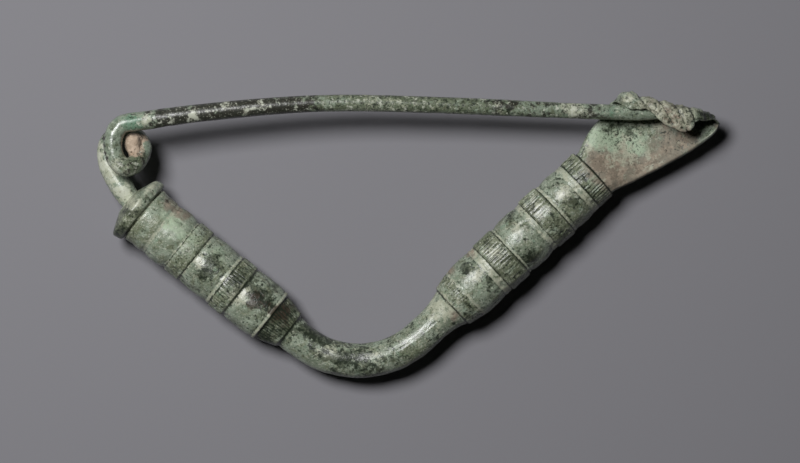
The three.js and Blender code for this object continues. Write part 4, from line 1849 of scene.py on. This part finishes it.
@dataclass(frozen=True)
class Studio:
    """A plain floor, one large soft light from the upper left and a camera straight above.

    The floor's size and the light's measures are in metres and watts. The floor's drop and the
    view are in mm.
    """

    floor_colour: str = "#8c8b90"
    floor_size: float = 1.6
    floor_drop: float = 0.02
    light_distance: float = 0.38
    light_elevation: float = 64.0
    light_bearing: tuple[float, float] = (-0.74, 0.673)
    light_width: float = 0.135
    light_power: float = 1.25
    fill: float = 0.004
    view_width: float = 120.0
    view_centre: tuple[float, float, float] = (-1.05, 0.52, 6.0)
    lens: float = 135.0
    sensor: float = 36.0

    def build(self) -> None:
        """Makes the floor, the light, the dim surroundings and the camera."""
        self.lay_floor()
        self.hang_light()
        self.dim_room()
        self.set_camera()

    def lay_floor(self) -> None:
        """Lays a square of matt grey card just under the brooch, so that they don't touch."""
        half = self.floor_size / 2
        corners = np.array([[-half, -half], [half, -half], [half, half], [-half, half]])
        places = np.column_stack([corners, np.full(4, -self.floor_drop * MM)])
        floor = mesh_object("floor", places, np.array([[0, 1, 2, 3]]), np.zeros((0, 3), int))
        # Matt card gives the eye an even grey with hardly any gleam.
        card = bpy.data.materials.new("matt_paper")
        card.use_nodes = True
        shader = card.node_tree.nodes["Principled BSDF"]
        shader.inputs["Base Color"].default_value = linear(self.floor_colour)
        shader.inputs["Roughness"].default_value = 0.95
        shader.inputs["Specular IOR Level"].default_value = 0.1
        floor.data.materials.append(card)

    def hang_light(self) -> None:
        """Hangs a round softbox at its bearing and elevation, turned towards the brooch."""
        rise = math.radians(self.light_elevation)
        away = np.array([*(np.array(self.light_bearing) * math.cos(rise)), math.sin(rise)])
        lamp = bpy.data.lights.new("softbox", "AREA")
        lamp.shape = "DISK"
        lamp.size = self.light_width
        lamp.energy = self.light_power
        softbox = bpy.data.objects.new("softbox", lamp)
        softbox.location = away * self.light_distance
        softbox.rotation_euler = softbox.location.to_track_quat("Z", "Y").to_euler()
        bpy.context.scene.collection.objects.link(softbox)

    def dim_room(self) -> None:
        """Gives the shadows a very weak, even fill, and shows colours as they are."""
        world = bpy.data.worlds.new("dim_room")
        world.use_nodes = True
        background = world.node_tree.nodes["Background"]
        background.inputs["Color"].default_value = (1.0, 1.0, 1.0, 1.0)
        background.inputs["Strength"].default_value = self.fill
        bpy.context.scene.world = world
        bpy.context.scene.view_settings.view_transform = "Standard"

    def set_camera(self) -> None:
        """Sets a long lens straight above: its distance over its focal length is the view's width
        over the sensor's."""
        camera = bpy.data.cameras.new("camera")
        camera.lens, camera.sensor_width = self.lens, self.sensor
        camera.clip_start, camera.clip_end = 0.01, 10.0
        holder = bpy.data.objects.new("camera", camera)
        distance = self.view_width * self.lens / self.sensor
        holder.location = np.add(self.view_centre, (0, 0, distance)) * MM
        bpy.context.scene.collection.objects.link(holder)
        bpy.context.scene.camera = holder


def main() -> None:
    """Builds the studio and the brooch, piece by piece."""
    logging.basicConfig(level=logging.INFO, format="%(name)s: %(message)s")
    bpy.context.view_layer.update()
    Studio().build()
    hinge = frame["joints"][0]
    coil_centre = (hinge["pos_m"][0] / MM, hinge["pos_m"][1] / MM)
    bow_body, pin_body = hinge["parent"], hinge["child"]
    for part in (Bow(bow_body), PinWire(coil_centre, (bow_body, pin_body)), EyeSoil(bow_body)):
        LOG.info("built %s", part.build().name)


if __name__ == "__main__":
    main()
